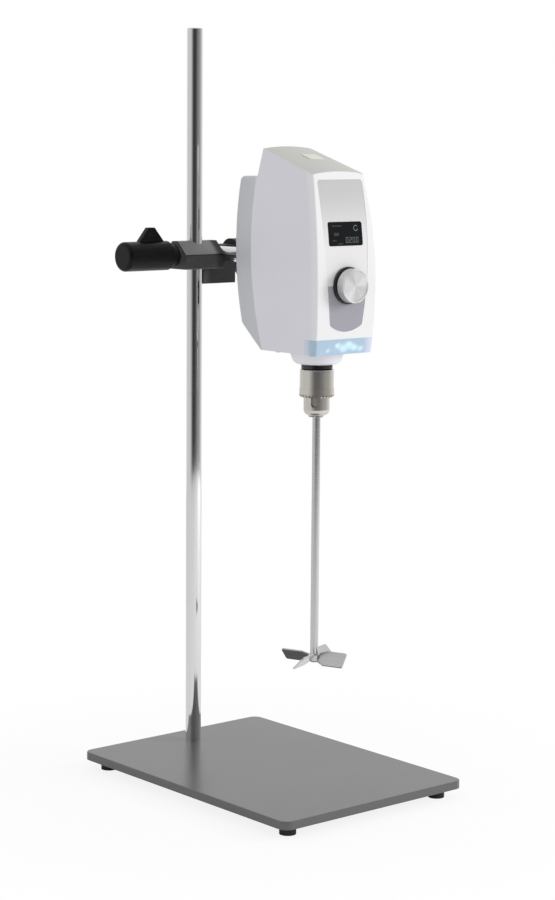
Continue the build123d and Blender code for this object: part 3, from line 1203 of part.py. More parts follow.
def jaw_plane(angle):
    """Plane at a jaw's tip, its normal up along the jaw's leaning axis."""
    turn = radians(angle)
    reach = shaft_r + jaw_r - 0.6
    tip = (HEAD_X + reach * cos(turn), SPINDLE_Y + reach * sin(turn), jaw_tip_z)
    axis = (sin(jaw_lean) * cos(turn), sin(jaw_lean) * sin(turn), cos(jaw_lean))
    return Plane(tip, x_dir=(-sin(turn), cos(turn), 0), z_dir=axis)


with BuildPart() as chuck_body:
    with BuildSketch(spindle_plane.offset(SLEEVE_TOP_Z + SEAT_GAP)):
        Circle(CHUCK_BACK / 2)
    extrude(amount=CHUCK_BACK_HEIGHT)
    chamfer(chuck_body.edges().filter_by(GeomType.CIRCLE), 0.6)
    with BuildSketch(spindle_plane.offset(NOSE_TOP_Z)):
        Circle(core_r)
    extrude(amount=SLEEVE_TOP_Z + SEAT_GAP - NOSE_TOP_Z)
    with BuildSketch(spindle_plane.offset(NOSE_BOTTOM_Z)):
        Circle(core_r)
    extrude(amount=CHUCK_NOSE_LENGTH)
    nose_rim = chuck_body.edges().filter_by(GeomType.CIRCLE).group_by(Axis.Z)[0]
    fillet(nose_rim, CHUCK_NOSE_ROUND)
    with BuildSketch(spindle_plane.offset(CHUCK_TOP_Z)):
        Circle(spindle_r + RUNNING_FIT)
    extrude(amount=-CHUCK_SHANK - SEAT_GAP, mode=Mode.SUBTRACT)
    with BuildSketch(spindle_plane.offset(NOSE_BOTTOM_Z)):
        Circle(CHUCK_BORE / 2)
    extrude(amount=SHAFT_IN_CHUCK + 3.0, mode=Mode.SUBTRACT)
    for angle in jaw_angles:
        with BuildSketch(jaw_plane(angle).offset(-JAW_LENGTH / 2)):
            Circle(jaw_r + 2 * RUNNING_FIT)
        extrude(amount=1.5 * JAW_LENGTH + jaw_travel + 1.0, mode=Mode.SUBTRACT)
    for angle in (KEY_HOLE_ANGLE, KEY_HOLE_ANGLE + 120, KEY_HOLE_ANGLE + 240):
        turn = radians(angle)
        radial = (cos(turn), sin(turn), 0)
        rim_point = (HEAD_X + core_r * cos(turn), SPINDLE_Y + core_r * sin(turn), NOSE_TOP_Z - KEY_HOLE)
        with BuildSketch(Plane(rim_point, x_dir=(-sin(turn), cos(turn), 0), z_dir=radial)):
            Circle(KEY_HOLE / 2)
            with Locations((0, KEY_HOLE / 2)):
                Rectangle(KEY_HOLE, KEY_HOLE)
        extrude(amount=-KEY_HOLE_DEPTH, mode=Mode.SUBTRACT)
chuck_body.part.label = "chuck_body"
export_step(chuck_body.part, "parts/chuck_body.step")

with BuildPart() as chuck_sleeve:
    with BuildSketch(spindle_plane.offset(SLEEVE_BOTTOM_Z)):
        Circle(CHUCK_SLEEVE / 2)
    extrude(amount=CHUCK_SLEEVE_LENGTH)
    fillet(chuck_sleeve.edges().group_by(Axis.Z)[-1], 1.0)
    with BuildSketch(spindle_plane.offset(SLEEVE_BOTTOM_Z)):
        Circle(GEAR_RING / 2)
    extrude(amount=GEAR_RING_HEIGHT)
    chamfer(chuck_sleeve.edges().filter_by(GeomType.CIRCLE).group_by(Axis.Z)[0], 1.6)
    with BuildSketch(spindle_plane.offset(SLEEVE_BOTTOM_Z)):
        Circle(core_r + RUNNING_FIT)
    extrude(amount=CHUCK_SLEEVE_LENGTH, mode=Mode.SUBTRACT)
    with BuildSketch(spindle_plane.offset(SLEEVE_BOTTOM_Z + NUT_LIFT)):
        Circle(NUT_OUTER / 2)
    extrude(amount=NUT_HEIGHT, mode=Mode.SUBTRACT)
    with BuildSketch(spindle_plane.offset(SLEEVE_BOTTOM_Z)):
        with PolarLocations(CHUCK_SLEEVE / 2, GEAR_TEETH):
            Rectangle(2.4 * TOOTH_DEPTH, TOOTH_GAP)
    extrude(amount=2 * TOOTH_DEPTH, mode=Mode.SUBTRACT)
chuck_sleeve.part.label = "chuck_sleeve"
export_step(chuck_sleeve.part, "parts/chuck_sleeve.step")

with BuildPart() as chuck_nut:
    with BuildSketch(spindle_plane.offset(SLEEVE_BOTTOM_Z + NUT_LIFT)):
        Circle(NUT_OUTER / 2)
        Circle(core_r + RUNNING_FIT, mode=Mode.SUBTRACT)
    extrude(amount=NUT_HEIGHT)
chuck_nut.part.label = "chuck_nut"
export_step(chuck_nut.part, "parts/chuck_nut.step")

for number, angle in enumerate(jaw_angles, 1):
    with BuildPart() as jaw:
        with BuildSketch(jaw_plane(angle).offset(-JAW_DIAMETER)):
            Circle(jaw_r)
        extrude(amount=JAW_LENGTH)
        with BuildSketch(spindle_plane.offset(jaw_tip_z)):
            Circle(JAW_OUTER)
            Circle(shaft_r + RUNNING_FIT, mode=Mode.SUBTRACT)
        extrude(amount=2 * JAW_LENGTH, mode=Mode.INTERSECT)
    jaw.part.label = f"chuck_jaw_{number}"
    export_step(jaw.part, f"parts/chuck_jaw_{number}.step")

# ---------------------------------------------------------------- stirring shaft and propeller
with BuildPart() as stirring_shaft:
    with BuildSketch(spindle_plane.offset(SHAFT_BOTTOM_Z)):
        Circle(shaft_r)
    extrude(amount=SHAFT_LENGTH)
    chamfer(stirring_shaft.edges().filter_by(GeomType.CIRCLE), 0.5)
stirring_shaft.part.label = "stirring_shaft"
export_step(stirring_shaft.part, "parts/stirring_shaft.step")

hub_r = HUB_DIAMETER / 2
hub_middle = (HEAD_X, SPINDLE_Y, HUB_Z + HUB_HEIGHT / 2)
grub_turn = radians(BLADE_ANGLE + 180 / BLADES)
grub_plane = Plane(hub_middle, x_dir=(0, 0, 1), z_dir=(cos(grub_turn), sin(grub_turn), 0))
with BuildPart() as propeller:
    with BuildSketch(spindle_plane.offset(HUB_Z)):
        Circle(hub_r)
    extrude(amount=HUB_HEIGHT)
    fillet(propeller.edges().filter_by(GeomType.CIRCLE), 0.8)
    for number in range(BLADES):
        turn = radians(BLADE_ANGLE + number * 360 / BLADES)
        pitch = radians(BLADE_PITCH)
        radial = Vector(cos(turn), sin(turn), 0)
        rise = Vector(-sin(turn) * cos(pitch), cos(turn) * cos(pitch), sin(pitch))
        blade_plane = Plane(hub_middle, x_dir=radial, z_dir=radial.cross(rise))
        with BuildSketch(blade_plane) as blade:
            with BuildLine():
                Polyline((shaft_r, -BLADE_ROOT_WIDTH / 2), (2 * hub_r, -BLADE_WIDTH / 2),
                         (PROPELLER_RADIUS, -BLADE_WIDTH / 2), (PROPELLER_RADIUS, BLADE_WIDTH / 2),
                         (2 * hub_r, BLADE_WIDTH / 2), (shaft_r, BLADE_ROOT_WIDTH / 2), close=True)
            make_face()
            fillet(blade.vertices(), BLADE_ROUND)
        extrude(amount=BLADE_THICKNESS / 2, both=True)
    with BuildSketch(spindle_plane.offset(HUB_Z)):
        Circle(shaft_r)
    extrude(amount=HUB_HEIGHT, mode=Mode.SUBTRACT)
    with BuildSketch(grub_plane):
        Circle(GRUB_DIAMETER / 2)
    extrude(amount=2 * hub_r, mode=Mode.SUBTRACT)
propeller.part.label = "propeller"
export_step(propeller.part, "parts/propeller.step")

with BuildPart() as propeller_screw:
    with BuildSketch(grub_plane.offset(shaft_r)):
        Circle(GRUB_DIAMETER / 2)
    extrude(amount=hub_r - shaft_r)
    with BuildSketch(grub_plane.offset(hub_r)):
        RegularPolygon(GRUB_DIAMETER / 4, 6)
    extrude(amount=-1.0, mode=Mode.SUBTRACT)
propeller_screw.part.label = "propeller_screw"
export_step(propeller_screw.part, "parts/propeller_screw.step")

# ---------------------------------------------------------------- mains inlet, switch, power board
with BuildPart() as power_inlet:
    with BuildSketch(Plane.XZ.offset(-inlet_pad_y)):
        with Locations((HEAD_X, INLET_Z)):
            RectangleRounded(*INLET_FLANGE, 1.5)
    extrude(amount=-FLANGE_THICKNESS)
    with BuildSketch(Plane.XZ.offset(-inlet_pad_y)):
        with Locations((HEAD_X, INLET_Z)):
            Rectangle(*INLET_BODY)
    extrude(amount=INLET_DEPTH)
    with BuildSketch(Plane.XZ.offset(-inlet_pad_y - FLANGE_THICKNESS)):
        with Locations((HEAD_X, INLET_Z)):
            RectangleRounded(*INLET_SOCKET, 2.0)
    extrude(amount=INLET_SOCKET_DEPTH, mode=Mode.SUBTRACT)
power_inlet.part.label = "power_inlet"
export_step(power_inlet.part, "parts/power_inlet.step")

socket_floor_y = inlet_pad_y + FLANGE_THICKNESS - INLET_SOCKET_DEPTH
with BuildPart() as inlet_pins:
    with BuildSketch(Plane.XZ.offset(-socket_floor_y)):
        with Locations((HEAD_X - PIN_SPREAD, INLET_Z - PIN_RISE), (HEAD_X, INLET_Z + PIN_RISE),
                       (HEAD_X + PIN_SPREAD, INLET_Z - PIN_RISE)):
            Rectangle(*PIN_SIZE)
    extrude(amount=-PIN_LENGTH)
inlet_pins.part.label = "inlet_pins"
export_step(inlet_pins.part, "parts/inlet_pins.step")

rocker_pivot_y = switch_pad_y + FLANGE_THICKNESS - ROCKER_PIVOT_DEPTH
with BuildPart() as power_switch:
    with BuildSketch(Plane.XZ.offset(-switch_pad_y)):
        with Locations((HEAD_X, SWITCH_Z)):
            RectangleRounded(*SWITCH_FLANGE, 1.0)
    extrude(amount=-FLANGE_THICKNESS)
    with BuildSketch(Plane.XZ.offset(-switch_pad_y)):
        with Locations((HEAD_X, SWITCH_Z)):
            Rectangle(*SWITCH_BODY)
    extrude(amount=SWITCH_DEPTH)
    with BuildSketch(Plane.XZ.offset(-switch_pad_y - FLANGE_THICKNESS)):
        with Locations((HEAD_X, SWITCH_Z)):
            Rectangle(*SWITCH_WELL)
    extrude(amount=SWITCH_DEPTH, mode=Mode.SUBTRACT)
    with BuildSketch(Plane.YZ.offset(HEAD_X)):
        with Locations((rocker_pivot_y, SWITCH_Z)):
            Circle(ROCKER_PIN / 2 + RUNNING_FIT)
    extrude(amount=SWITCH_BODY[0] / 2, both=True, mode=Mode.SUBTRACT)
power_switch.part.label = "power_switch"
export_step(power_switch.part, "parts/power_switch.step")

rocker_half = SWITCH_WELL[1] / 2 - ROCKER_END_GAP
half_throw = radians(ROCKER_THROW / 2)
rocker_crest = ROCKER_PIVOT_DEPTH + ROCKER_RISE / 2
rocker_tip = rocker_crest + rocker_half * tan(half_throw)
rocker_profile = [(rocker_crest, 0), (rocker_tip, rocker_half), (-ROCKER_WAIST, 0.8 * rocker_half),
                  (-ROCKER_DROP, ROCKER_FOOT), (-ROCKER_DROP, -ROCKER_FOOT),
                  (-ROCKER_WAIST, -0.8 * rocker_half), (rocker_tip, -rocker_half)]
with BuildPart() as switch_rocker:
    rocker_out = (0, cos(half_throw), sin(half_throw))
    with BuildSketch(Plane((HEAD_X, rocker_pivot_y, SWITCH_Z), x_dir=rocker_out, z_dir=(1, 0, 0))):
        with BuildLine():
            Polyline(*rocker_profile, close=True)
        make_face()
    extrude(amount=SWITCH_WELL[0] / 2 - SEAT_GAP, both=True)
    with BuildSketch(Plane.YZ.offset(HEAD_X)):
        with Locations((rocker_pivot_y, SWITCH_Z)):
            Circle(ROCKER_PIN / 2)
    extrude(amount=SWITCH_BODY[0] / 2 - SEAT_GAP, both=True)
switch_rocker.part.label = "switch_rocker"
export_step(switch_rocker.part, "parts/switch_rocker.step")

with BuildPart() as power_board:
    with BuildSketch(Plane.XZ.offset(-POWER_BOARD_Y - BOARD_THICKNESS)):
        with Locations((HEAD_X, POWER_BOARD_Z)):
            Rectangle(POWER_BOARD_WIDTH, POWER_BOARD_HEIGHT)
    extrude(amount=BOARD_THICKNESS)
    with BuildSketch(Plane.XZ.offset(-POWER_BOARD_Y)):
        with Locations((HEAD_X + TRANSFORMER_PLACE[0], POWER_BOARD_Z + TRANSFORMER_PLACE[1])):
            Rectangle(TRANSFORMER[0], TRANSFORMER[2])
    extrude(amount=TRANSFORMER[1])
    with BuildSketch(Plane.XZ.offset(-POWER_BOARD_Y)):
        with Locations(*((HEAD_X + x, POWER_BOARD_Z + z) for x, z in CAPACITOR_PLACES)):
            Circle(CAPACITOR_DIAMETER / 2)
    extrude(amount=CAPACITOR_LENGTH)
power_board.part.label = "power_board"
export_step(power_board.part, "parts/power_board.step")
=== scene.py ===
"""Overhead laboratory stirrer on a plate stand: finishes, small parts, light and camera, in metres."""
import math

import bmesh
import bpy
from mathutils import Matrix, Vector
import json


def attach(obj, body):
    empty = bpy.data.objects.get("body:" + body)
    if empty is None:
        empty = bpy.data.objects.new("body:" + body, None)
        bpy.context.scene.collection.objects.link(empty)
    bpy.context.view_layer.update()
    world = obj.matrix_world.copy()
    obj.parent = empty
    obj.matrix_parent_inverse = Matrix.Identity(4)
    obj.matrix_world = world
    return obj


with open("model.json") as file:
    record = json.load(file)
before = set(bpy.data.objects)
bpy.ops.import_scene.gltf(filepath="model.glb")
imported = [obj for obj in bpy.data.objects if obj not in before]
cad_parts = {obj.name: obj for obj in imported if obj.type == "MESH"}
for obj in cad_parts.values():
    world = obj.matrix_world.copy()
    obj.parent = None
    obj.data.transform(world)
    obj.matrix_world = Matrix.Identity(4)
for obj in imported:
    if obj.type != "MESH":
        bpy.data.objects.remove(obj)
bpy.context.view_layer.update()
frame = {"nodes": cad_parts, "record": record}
nodes = frame["nodes"]
scene = bpy.context.scene

# ---------------------------------------------------------------- places taken from the model
X, Y, Z = range(3)


def span(name, axis):
    """Lowest and highest coordinate of a piece at rest along an axis."""
    places = [corner.co[axis] for corner in nodes[name].data.vertices]
    return min(places), max(places)


dial_joint = next(j for j in frame["record"]["behaviour"]["joints"] if j["name"] == "dial_turn")
head_x = dial_joint["pos_m"][X]
dial_z = dial_joint["pos_m"][Z]
dial_face_y = span("control_dial", Y)[0]
foremost_y = span("main_shell", Y)[0]
bar_bottom, bar_top = span("light_bar", Z)
sleeve_top = span("chuck_sleeve", Z)[1]
display_low = span("display_window", Z)[0]
FRONT_BOW = 0.430           # radius of the front, bowed in height
FRONT_BOW_Z = 0.497
# CLAMP_LEFT and CRADLE_X bound the painted shade on the clamp's screw boss and on the arm's cradle
CLAMP_LEFT = -0.02475       # plane that the screw boss stands on
CRADLE_X = 0.012            # from here to the right the clamp is the arm's cradle


def front_y(z):
    """Y of the head's bowed front at height z."""
    return foremost_y + FRONT_BOW - math.sqrt(FRONT_BOW ** 2 - (z - FRONT_BOW_Z) ** 2)


# ---------------------------------------------------------------- shader expressions
class Value:
    """A number on a shader socket; arithmetic on it adds Math nodes."""

    def __init__(self, finish, socket):
        self.finish = finish
        self.socket = socket

    def maths(self, operation, *others, first=None):
        terms = [self if first is None else first]
        terms += list(others) if first is None else [self]
        return self.finish.node("ShaderNodeMath", {"operation": operation}, dict(enumerate(terms)))

    def __add__(self, other):
        return self.maths("ADD", other)

    __radd__ = __add__

    def __mul__(self, other):
        return self.maths("MULTIPLY", other)

    __rmul__ = __mul__

    def __sub__(self, other):
        return self.maths("SUBTRACT", other)

    def __rsub__(self, other):
        return self.maths("SUBTRACT", first=other)

    def __truediv__(self, other):
        return self.maths("DIVIDE", other)

    def __rtruediv__(self, other):
        return self.maths("DIVIDE", first=other)

    def __pow__(self, other):
        return self.maths("POWER", other)

    def sine(self):
        return self.maths("SINE")

    def bearing(self, other):
        """Angle of the point (other, self) round the origin, in radians."""
        return self.maths("ARCTAN2", other)

    def at_least(self, other):
        return self.maths("MAXIMUM", other)


class Finish:
    """One finish: a Principled shader whose fixed values are on its sockets."""

    def __init__(self, name, **fixed):
        self.material = bpy.data.materials.new(name)
        self.material.use_nodes = True
        self.tree = self.material.node_tree
        self.shader = self.tree.nodes["Principled BSDF"]
        for socket, value in fixed.items():
            self.shader.inputs[socket.replace("_", " ")].default_value = value
        self.place = None

    def node(self, kind, settings=None, inputs=None, out=0):
        """Adds a node, sets its settings first and then its sockets; returns one output."""
        made = self.tree.nodes.new(kind)
        for key, value in (settings or {}).items():
            setattr(made, key, value)
        for key, value in (inputs or {}).items():
            if isinstance(value, Value):
                self.tree.links.new(value.socket, made.inputs[key])
            else:
                made.inputs[key].default_value = value
        return Value(self, made.outputs[out])

    def coords(self):
        """Object coordinates, made once for each finish."""
        if self.place is None:
            self.place = self.node("ShaderNodeTexCoord", out="Object")
        return self.place

    def axes(self):
        """X, Y and Z of the point."""
        split = self.node("ShaderNodeSeparateXYZ", inputs={0: self.coords()}).socket.node
        return [Value(self, split.outputs[k]) for k in range(3)]

    def stretched(self, scale, centre=(0, 0, 0)):
        """Coordinates stretched along the axes about a centre."""
        shift = [-c * s for c, s in zip(centre, scale)]
        return self.node("ShaderNodeMapping", inputs={0: self.coords(), 1: shift, 3: scale})

    def noise(self, scale, detail=3.0, where=None, rough=0.5):
        sockets = {"Vector": where or self.coords(), "Scale": scale, "Detail": detail, "Roughness": rough}
        return self.node("ShaderNodeTexNoise", {"normalize": True}, sockets)

    def mix(self, amount, low, high):
        """Colour between low and high."""
        settings = {"data_type": "RGBA", "clamp_factor": True}
        return self.node("ShaderNodeMix", settings, {0: amount, 6: low, 7: high}, out=2)

    def step(self, amount, low, high, start=0.0, end=1.0):
        """Smooth step of amount from low to high."""
        settings = {"interpolation_type": "SMOOTHSTEP"}
        return self.node("ShaderNodeMapRange", settings, {0: amount, 1: low, 2: high, 3: start, 4: end})

    def give(self, socket, value):
        self.tree.links.new(value.socket, self.shader.inputs[socket])

    def bump(self, height, distance, strength=1.0):
        sockets = {"Height": height, "Distance": distance, "Strength": strength}
        self.give("Normal", self.node("ShaderNodeBump", inputs=sockets))


def grey(level, tint=(1.0, 1.0, 1.0)):
    """A grey of one level, tinted, with its alpha."""
    return tuple(level * t for t in tint) + (1.0,)


# ---------------------------------------------------------------- finishes
def paint_plate():
    """Satin grey stove enamel with a faint orange peel."""
    f = Finish("plate_enamel", IOR=1.45)
    blotch = f.noise(9.0, 2.0)
    speckle = f.noise(900.0, 2.0)
    f.give("Base Color", f.mix(blotch * 0.6 + speckle * 0.4, grey(0.10), grey(0.125)))
    f.give("Roughness", f.noise(30.0) * 0.08 + 0.2)
    f.bump(f.noise(420.0, 2.0), 0.00005, 0.25)
    return f.material


def chrome(name, level, lay):
    """Chromed tube with fine lengthwise polishing lines."""
    f = Finish(name, Metallic=1.0)
    lines = f.noise(1.0, 4.0, f.stretched(lay))
    f.give("Base Color", f.mix(lines, grey(level * 0.92), grey(level, (1.0, 1.0, 1.01))))
    f.give("Roughness", lines * 0.06 + 0.05)
    f.bump(lines, 0.00001, 0.25)
    return f.material


def moulded(name, low, high, rough, grain, tint=(1.0, 1.0, 1.0)):
    """Moulded plastic with a fine spark-eroded grain and slight unevenness."""
    f = Finish(name, IOR=1.48)
    cloud = f.noise(14.0, 2.0)
    f.give("Base Color", f.mix(cloud, grey(low, tint), grey(high, tint)))
    f.give("Roughness", f.noise(90.0) * 0.1 + (rough - 0.05))
    f.bump(f.noise(grain, 3.0), 0.00006, 0.3)
    return f.material


def shell_coat():
    """Pale shell with cool sides; painted light makes the front frame whiter, with a painted highlight round
    its front edge, and painted shade makes the roof darker and warmer.
    """
    f = Finish("shell_white", IOR=1.48)
    facing = f.node("ShaderNodeTexCoord", out="Normal")
    split = f.node("ShaderNodeSeparateXYZ", inputs={0: facing}).socket.node
    # painted light and shade by facing: faces turned to the front are painted whiter, faces turned up are
    # painted darker
    painted_front_light = f.step(Value(f, split.outputs[1]), -0.3, -0.65)
    above = f.step(Value(f, split.outputs[2]), 0.5, 0.9)
    cloud = f.noise(14.0, 2.0)
    _, y, z = f.axes()
    rise = z - FRONT_BOW_Z
    behind_front = y - foremost_y - rise * rise / (2.0 * FRONT_BOW)
    # painted highlight: a band just behind the bowed front, round the front edge, is painted whiter
    painted_edge_highlight = f.step(behind_front, 0.012, 0.004) * 0.7
    side = f.mix(cloud, grey(0.66, (0.985, 0.975, 1.05)), grey(0.69, (0.985, 0.975, 1.05)))
    front = f.mix(painted_front_light.at_least(painted_edge_highlight), side, grey(0.73, (1.0, 0.995, 1.01)))
    # painted shade: the roof is painted darker and warmer
    f.give("Base Color", f.mix(above, front, grey(0.49, (1.0, 0.995, 0.955))))
    f.give("Roughness", f.noise(90.0) * 0.1 + 0.34)
    f.bump(f.noise(1500.0, 3.0), 0.00005, 0.25)
    return f.material


def cast_black(name, low, high, rough, grain, ior=1.5):
    """Black coating over cast or moulded stock, lighter where it is rubbed."""
    f = Finish(name, IOR=ior)
    rubbed = f.step(f.noise(55.0, 4.0), 0.45, 0.75)
    f.give("Base Color", f.mix(rubbed, grey(low), grey(high, (1.0, 1.0, 0.98))))
    f.give("Roughness", rubbed * 0.12 + rough)
    f.bump(f.noise(grain, 3.0), 0.00012, 0.45)
    return f.material


def clamp_coat():
    """Textured coating, lighter where rubbed; painted light makes the clamp's sloping roof palest, and
    painted shade darkens the arm's cradle and makes the screw boss nearly black.
    """
    f = Finish("clamp_coating", IOR=1.38)
    facing = f.node("ShaderNodeTexCoord", out="Normal")
    split = f.node("ShaderNodeSeparateXYZ", inputs={0: facing}).socket.node
    # painted light: faces turned up, the clamp's sloping roof, are painted paler
    above = f.step(Value(f, split.outputs[2]), 0.15, 0.45)
    x = f.axes()[0]
    # painted shade: the arm's cradle, right of CRADLE_X, is painted darker
    cradle = f.step(x, CRADLE_X, CRADLE_X + 0.008)
    rubbed = f.step(f.noise(55.0, 4.0), 0.45, 0.75)
    body = f.mix(rubbed, grey(0.055), grey(0.085))
    roof_with_painted_light = f.mix(above, body, grey(0.19))
    # painted shade: the screw boss beyond CLAMP_LEFT is painted nearly black
    boss = f.step(x, CLAMP_LEFT - 0.00055, CLAMP_LEFT - 0.00145)
    f.give("Base Color", f.mix(boss, f.mix(cradle, roof_with_painted_light, grey(0.02)), grey(0.004)))
    f.give("Roughness", rubbed * 0.12 + 0.42)
    f.bump(f.noise(700.0, 3.0), 0.00012, 0.45)
    return f.material


def chuck_plate():
    """Satin nickel plate, nearly without tool marks; the chuck over the sleeve's top, in the gap under the
    collar, is painted dark as painted shade.
    """
    f = Finish("chuck_nickel", Metallic=1.0)
    z = f.axes()[2]
    lines = f.noise(1.0, 3.0, f.stretched((40.0, 40.0, 500.0)))
    # painted shade: the chuck over the sleeve's top, in the gap under the collar, is painted dark
    painted_gap_shade = f.step(z, sleeve_top - 0.0002, sleeve_top + 0.0002)
    tint = (1.0, 0.95, 0.885)
    plate = f.mix(lines, grey(0.63, tint), grey(0.68, tint))
    f.give("Base Color", f.mix(painted_gap_shade, plate, grey(0.07)))
    f.give("Roughness", lines * 0.05 + 0.2)
    f.bump(lines, 0.00001, 0.15)
    return f.material


def brushed(name, level, rough, lay, tint=(1.0, 1.0, 1.0)):
    """Turned or ground metal with lines along its lay."""
    f = Finish(name, Metallic=1.0)
    lines = f.noise(1.0, 5.0, f.stretched(lay))
    f.give("Base Color", f.mix(lines, grey(level * 0.82, tint), grey(level, tint)))
    f.give("Roughness", lines * 0.14 + rough)
    f.bump(lines, 0.00003, 0.35)
    return f.material


def spun_dial():
    """Spun aluminium: fine rings round the dial's axis as a bump, with wedges of light painted into the
    face's colour as a painted highlight.
    """
    f = Finish("dial_spun", Metallic=0.55)
    x, y, z = f.axes()
    across = x - head_x
    rise = z - dial_z
    radius = (across * across + rise * rise) ** 0.5
    rings = (radius * 5200.0).sine() * 0.5 + 0.5
    fine = f.noise(1.0, 3.0, f.stretched((60.0, 60.0, 60.0)))
    angle = rise.bearing(across)
    # painted highlight: bright and dark wedges by angle round the dial's axis, painted into the face's colour
    painted_fan_highlight = ((angle * 2.0 + 0.5).sine() * 0.6 + (angle * 5.0).sine() * 0.4) * 0.5 + 0.5
    face = f.step(y, dial_face_y + 0.0016, dial_face_y + 0.0006)
    f.give("Base Color", f.mix(painted_fan_highlight * face * 0.75 + fine * 0.25, grey(0.60), grey(1.0)))
    f.give("Roughness", rings * 0.08 + 0.2)
    f.bump(rings * face, 0.00006, 0.8)
    return f.material


# each lamp: across from the head's middle, above the bar's underside, reach of its glow
LAMPS = ((-0.021, 0.0042, 0.0040), (-0.009, 0.0090, 0.0034), (-0.001, 0.0052, 0.0050),
         (0.006, 0.0095, 0.0042), (0.013, 0.0060, 0.0034), (0.022, 0.0046, 0.0044))
LAMP_FLATNESS = 0.8


def lit_bar():
    """Translucent bar, pale violet at its right end and its rear, with lamps glowing behind its front."""
    f = Finish("bar_lit", Roughness=0.3, IOR=1.46, Emission_Strength=0.34)
    x, y, z = f.axes()
    glow = None
    for shift, lift, reach in LAMPS:
        dx = (x - (head_x + shift)) / reach
        dz = (z - (bar_bottom + lift)) / (reach * LAMP_FLATNESS)
        spot = 1.0 / (1.0 + (dx * dx + dz * dz))
        glow = spot if glow is None else glow + spot
    lit = f.step(glow, 0.6, 1.4)
    behind = f.step(y - front_y((bar_bottom + bar_top) / 2), 0.006, 0.014)
    ends = f.step(x - head_x, 0.024, 0.034).at_least(behind)
    dark = f.step(f.noise(160.0, 2.0), 0.42, 0.62, 0.82, 1.0)
    glass = f.mix(dark, (0.28, 0.38, 0.47, 1), (0.38, 0.50, 0.61, 1))
    f.give("Base Color", f.mix(ends, glass, (0.58, 0.60, 0.72, 1)))
    f.give("Emission Color", f.mix(lit * (1.0 - ends), (0.0, 0.02, 0.04, 1), (0.62, 0.95, 1.0, 1)))
    f.bump(f.noise(260.0, 2.0), 0.0001, 0.2)
    return f.material


# heights over which the panel film is painted darker toward the head's top as painted shade
TOP_SHADE_START_Z = 0.530
TOP_SHADE_END_Z = 0.598


def film(name, low, high, tint=(1.0, 1.0, 1.0), top_shade_share=1.0):
    """Printed satin film with a fine brushed line, painted darker toward the head's top as painted shade, by
    the share given.
    """
    f = Finish(name, IOR=1.46, Metallic=0.0)
    z = f.axes()[2]
    lines = f.noise(1.0, 3.0, f.stretched((2600.0, 60.0, 60.0)))
    print_colour = f.mix(lines, grey(low, tint), grey(high, tint))
    # painted shade: a darker copy of the print colour for the head's top
    dull = f.mix(lines, grey(low * top_shade_share, tint), grey(high * top_shade_share, tint))
    f.give("Base Color", f.mix(f.step(z, TOP_SHADE_START_Z, TOP_SHADE_END_Z), print_colour, dull))
    f.give("Roughness", lines * 0.08 + 0.34)
    f.bump(lines, 0.00001, 0.2)
    return f.material


def display_glass():
    """Black glass, nearly even."""
    f = Finish("display_glass", Roughness=0.12, IOR=1.35)
    f.give("Base Color", f.mix(f.noise(60.0), grey(0.003), grey(0.006, (0.9, 1.0, 1.15))))
    return f.material


def glowing(name, colour, strength):
    """A lit mark, faintly uneven."""
    f = Finish(name, Roughness=0.4, Emission_Strength=strength)
    flicker = f.noise(700.0, 1.0)
    f.give("Base Color", f.mix(flicker, tuple(0.5 * c for c in colour) + (1,), colour + (1,)))
    f.give("Emission Color", f.mix(flicker, tuple(0.7 * c for c in colour) + (1,), colour + (1,)))
    return f.material


def rubber():
    """Dull black rubber."""
    f = Finish("foot_rubber", IOR=1.5)
    f.give("Base Color", f.mix(f.noise(70.0), grey(0.012), grey(0.03)))
    f.give("Roughness", f.noise(160.0) * 0.2 + 0.55)
    f.bump(f.noise(800.0), 0.0001, 0.4)
    return f.material


def board():
    """Circuit board: solder mask with paler tracks."""
    f = Finish("board_mask", Roughness=0.4, IOR=1.5)
    tracks = f.step(f.noise(260.0, 1.0, f.stretched((1.0, 1.0, 3.0))), 0.48, 0.54)
    f.give("Base Color", f.mix(tracks, (0.01, 0.10, 0.035, 1), (0.03, 0.19, 0.07, 1)))
    f.bump(tracks, 0.00004, 0.5)
    return f.material


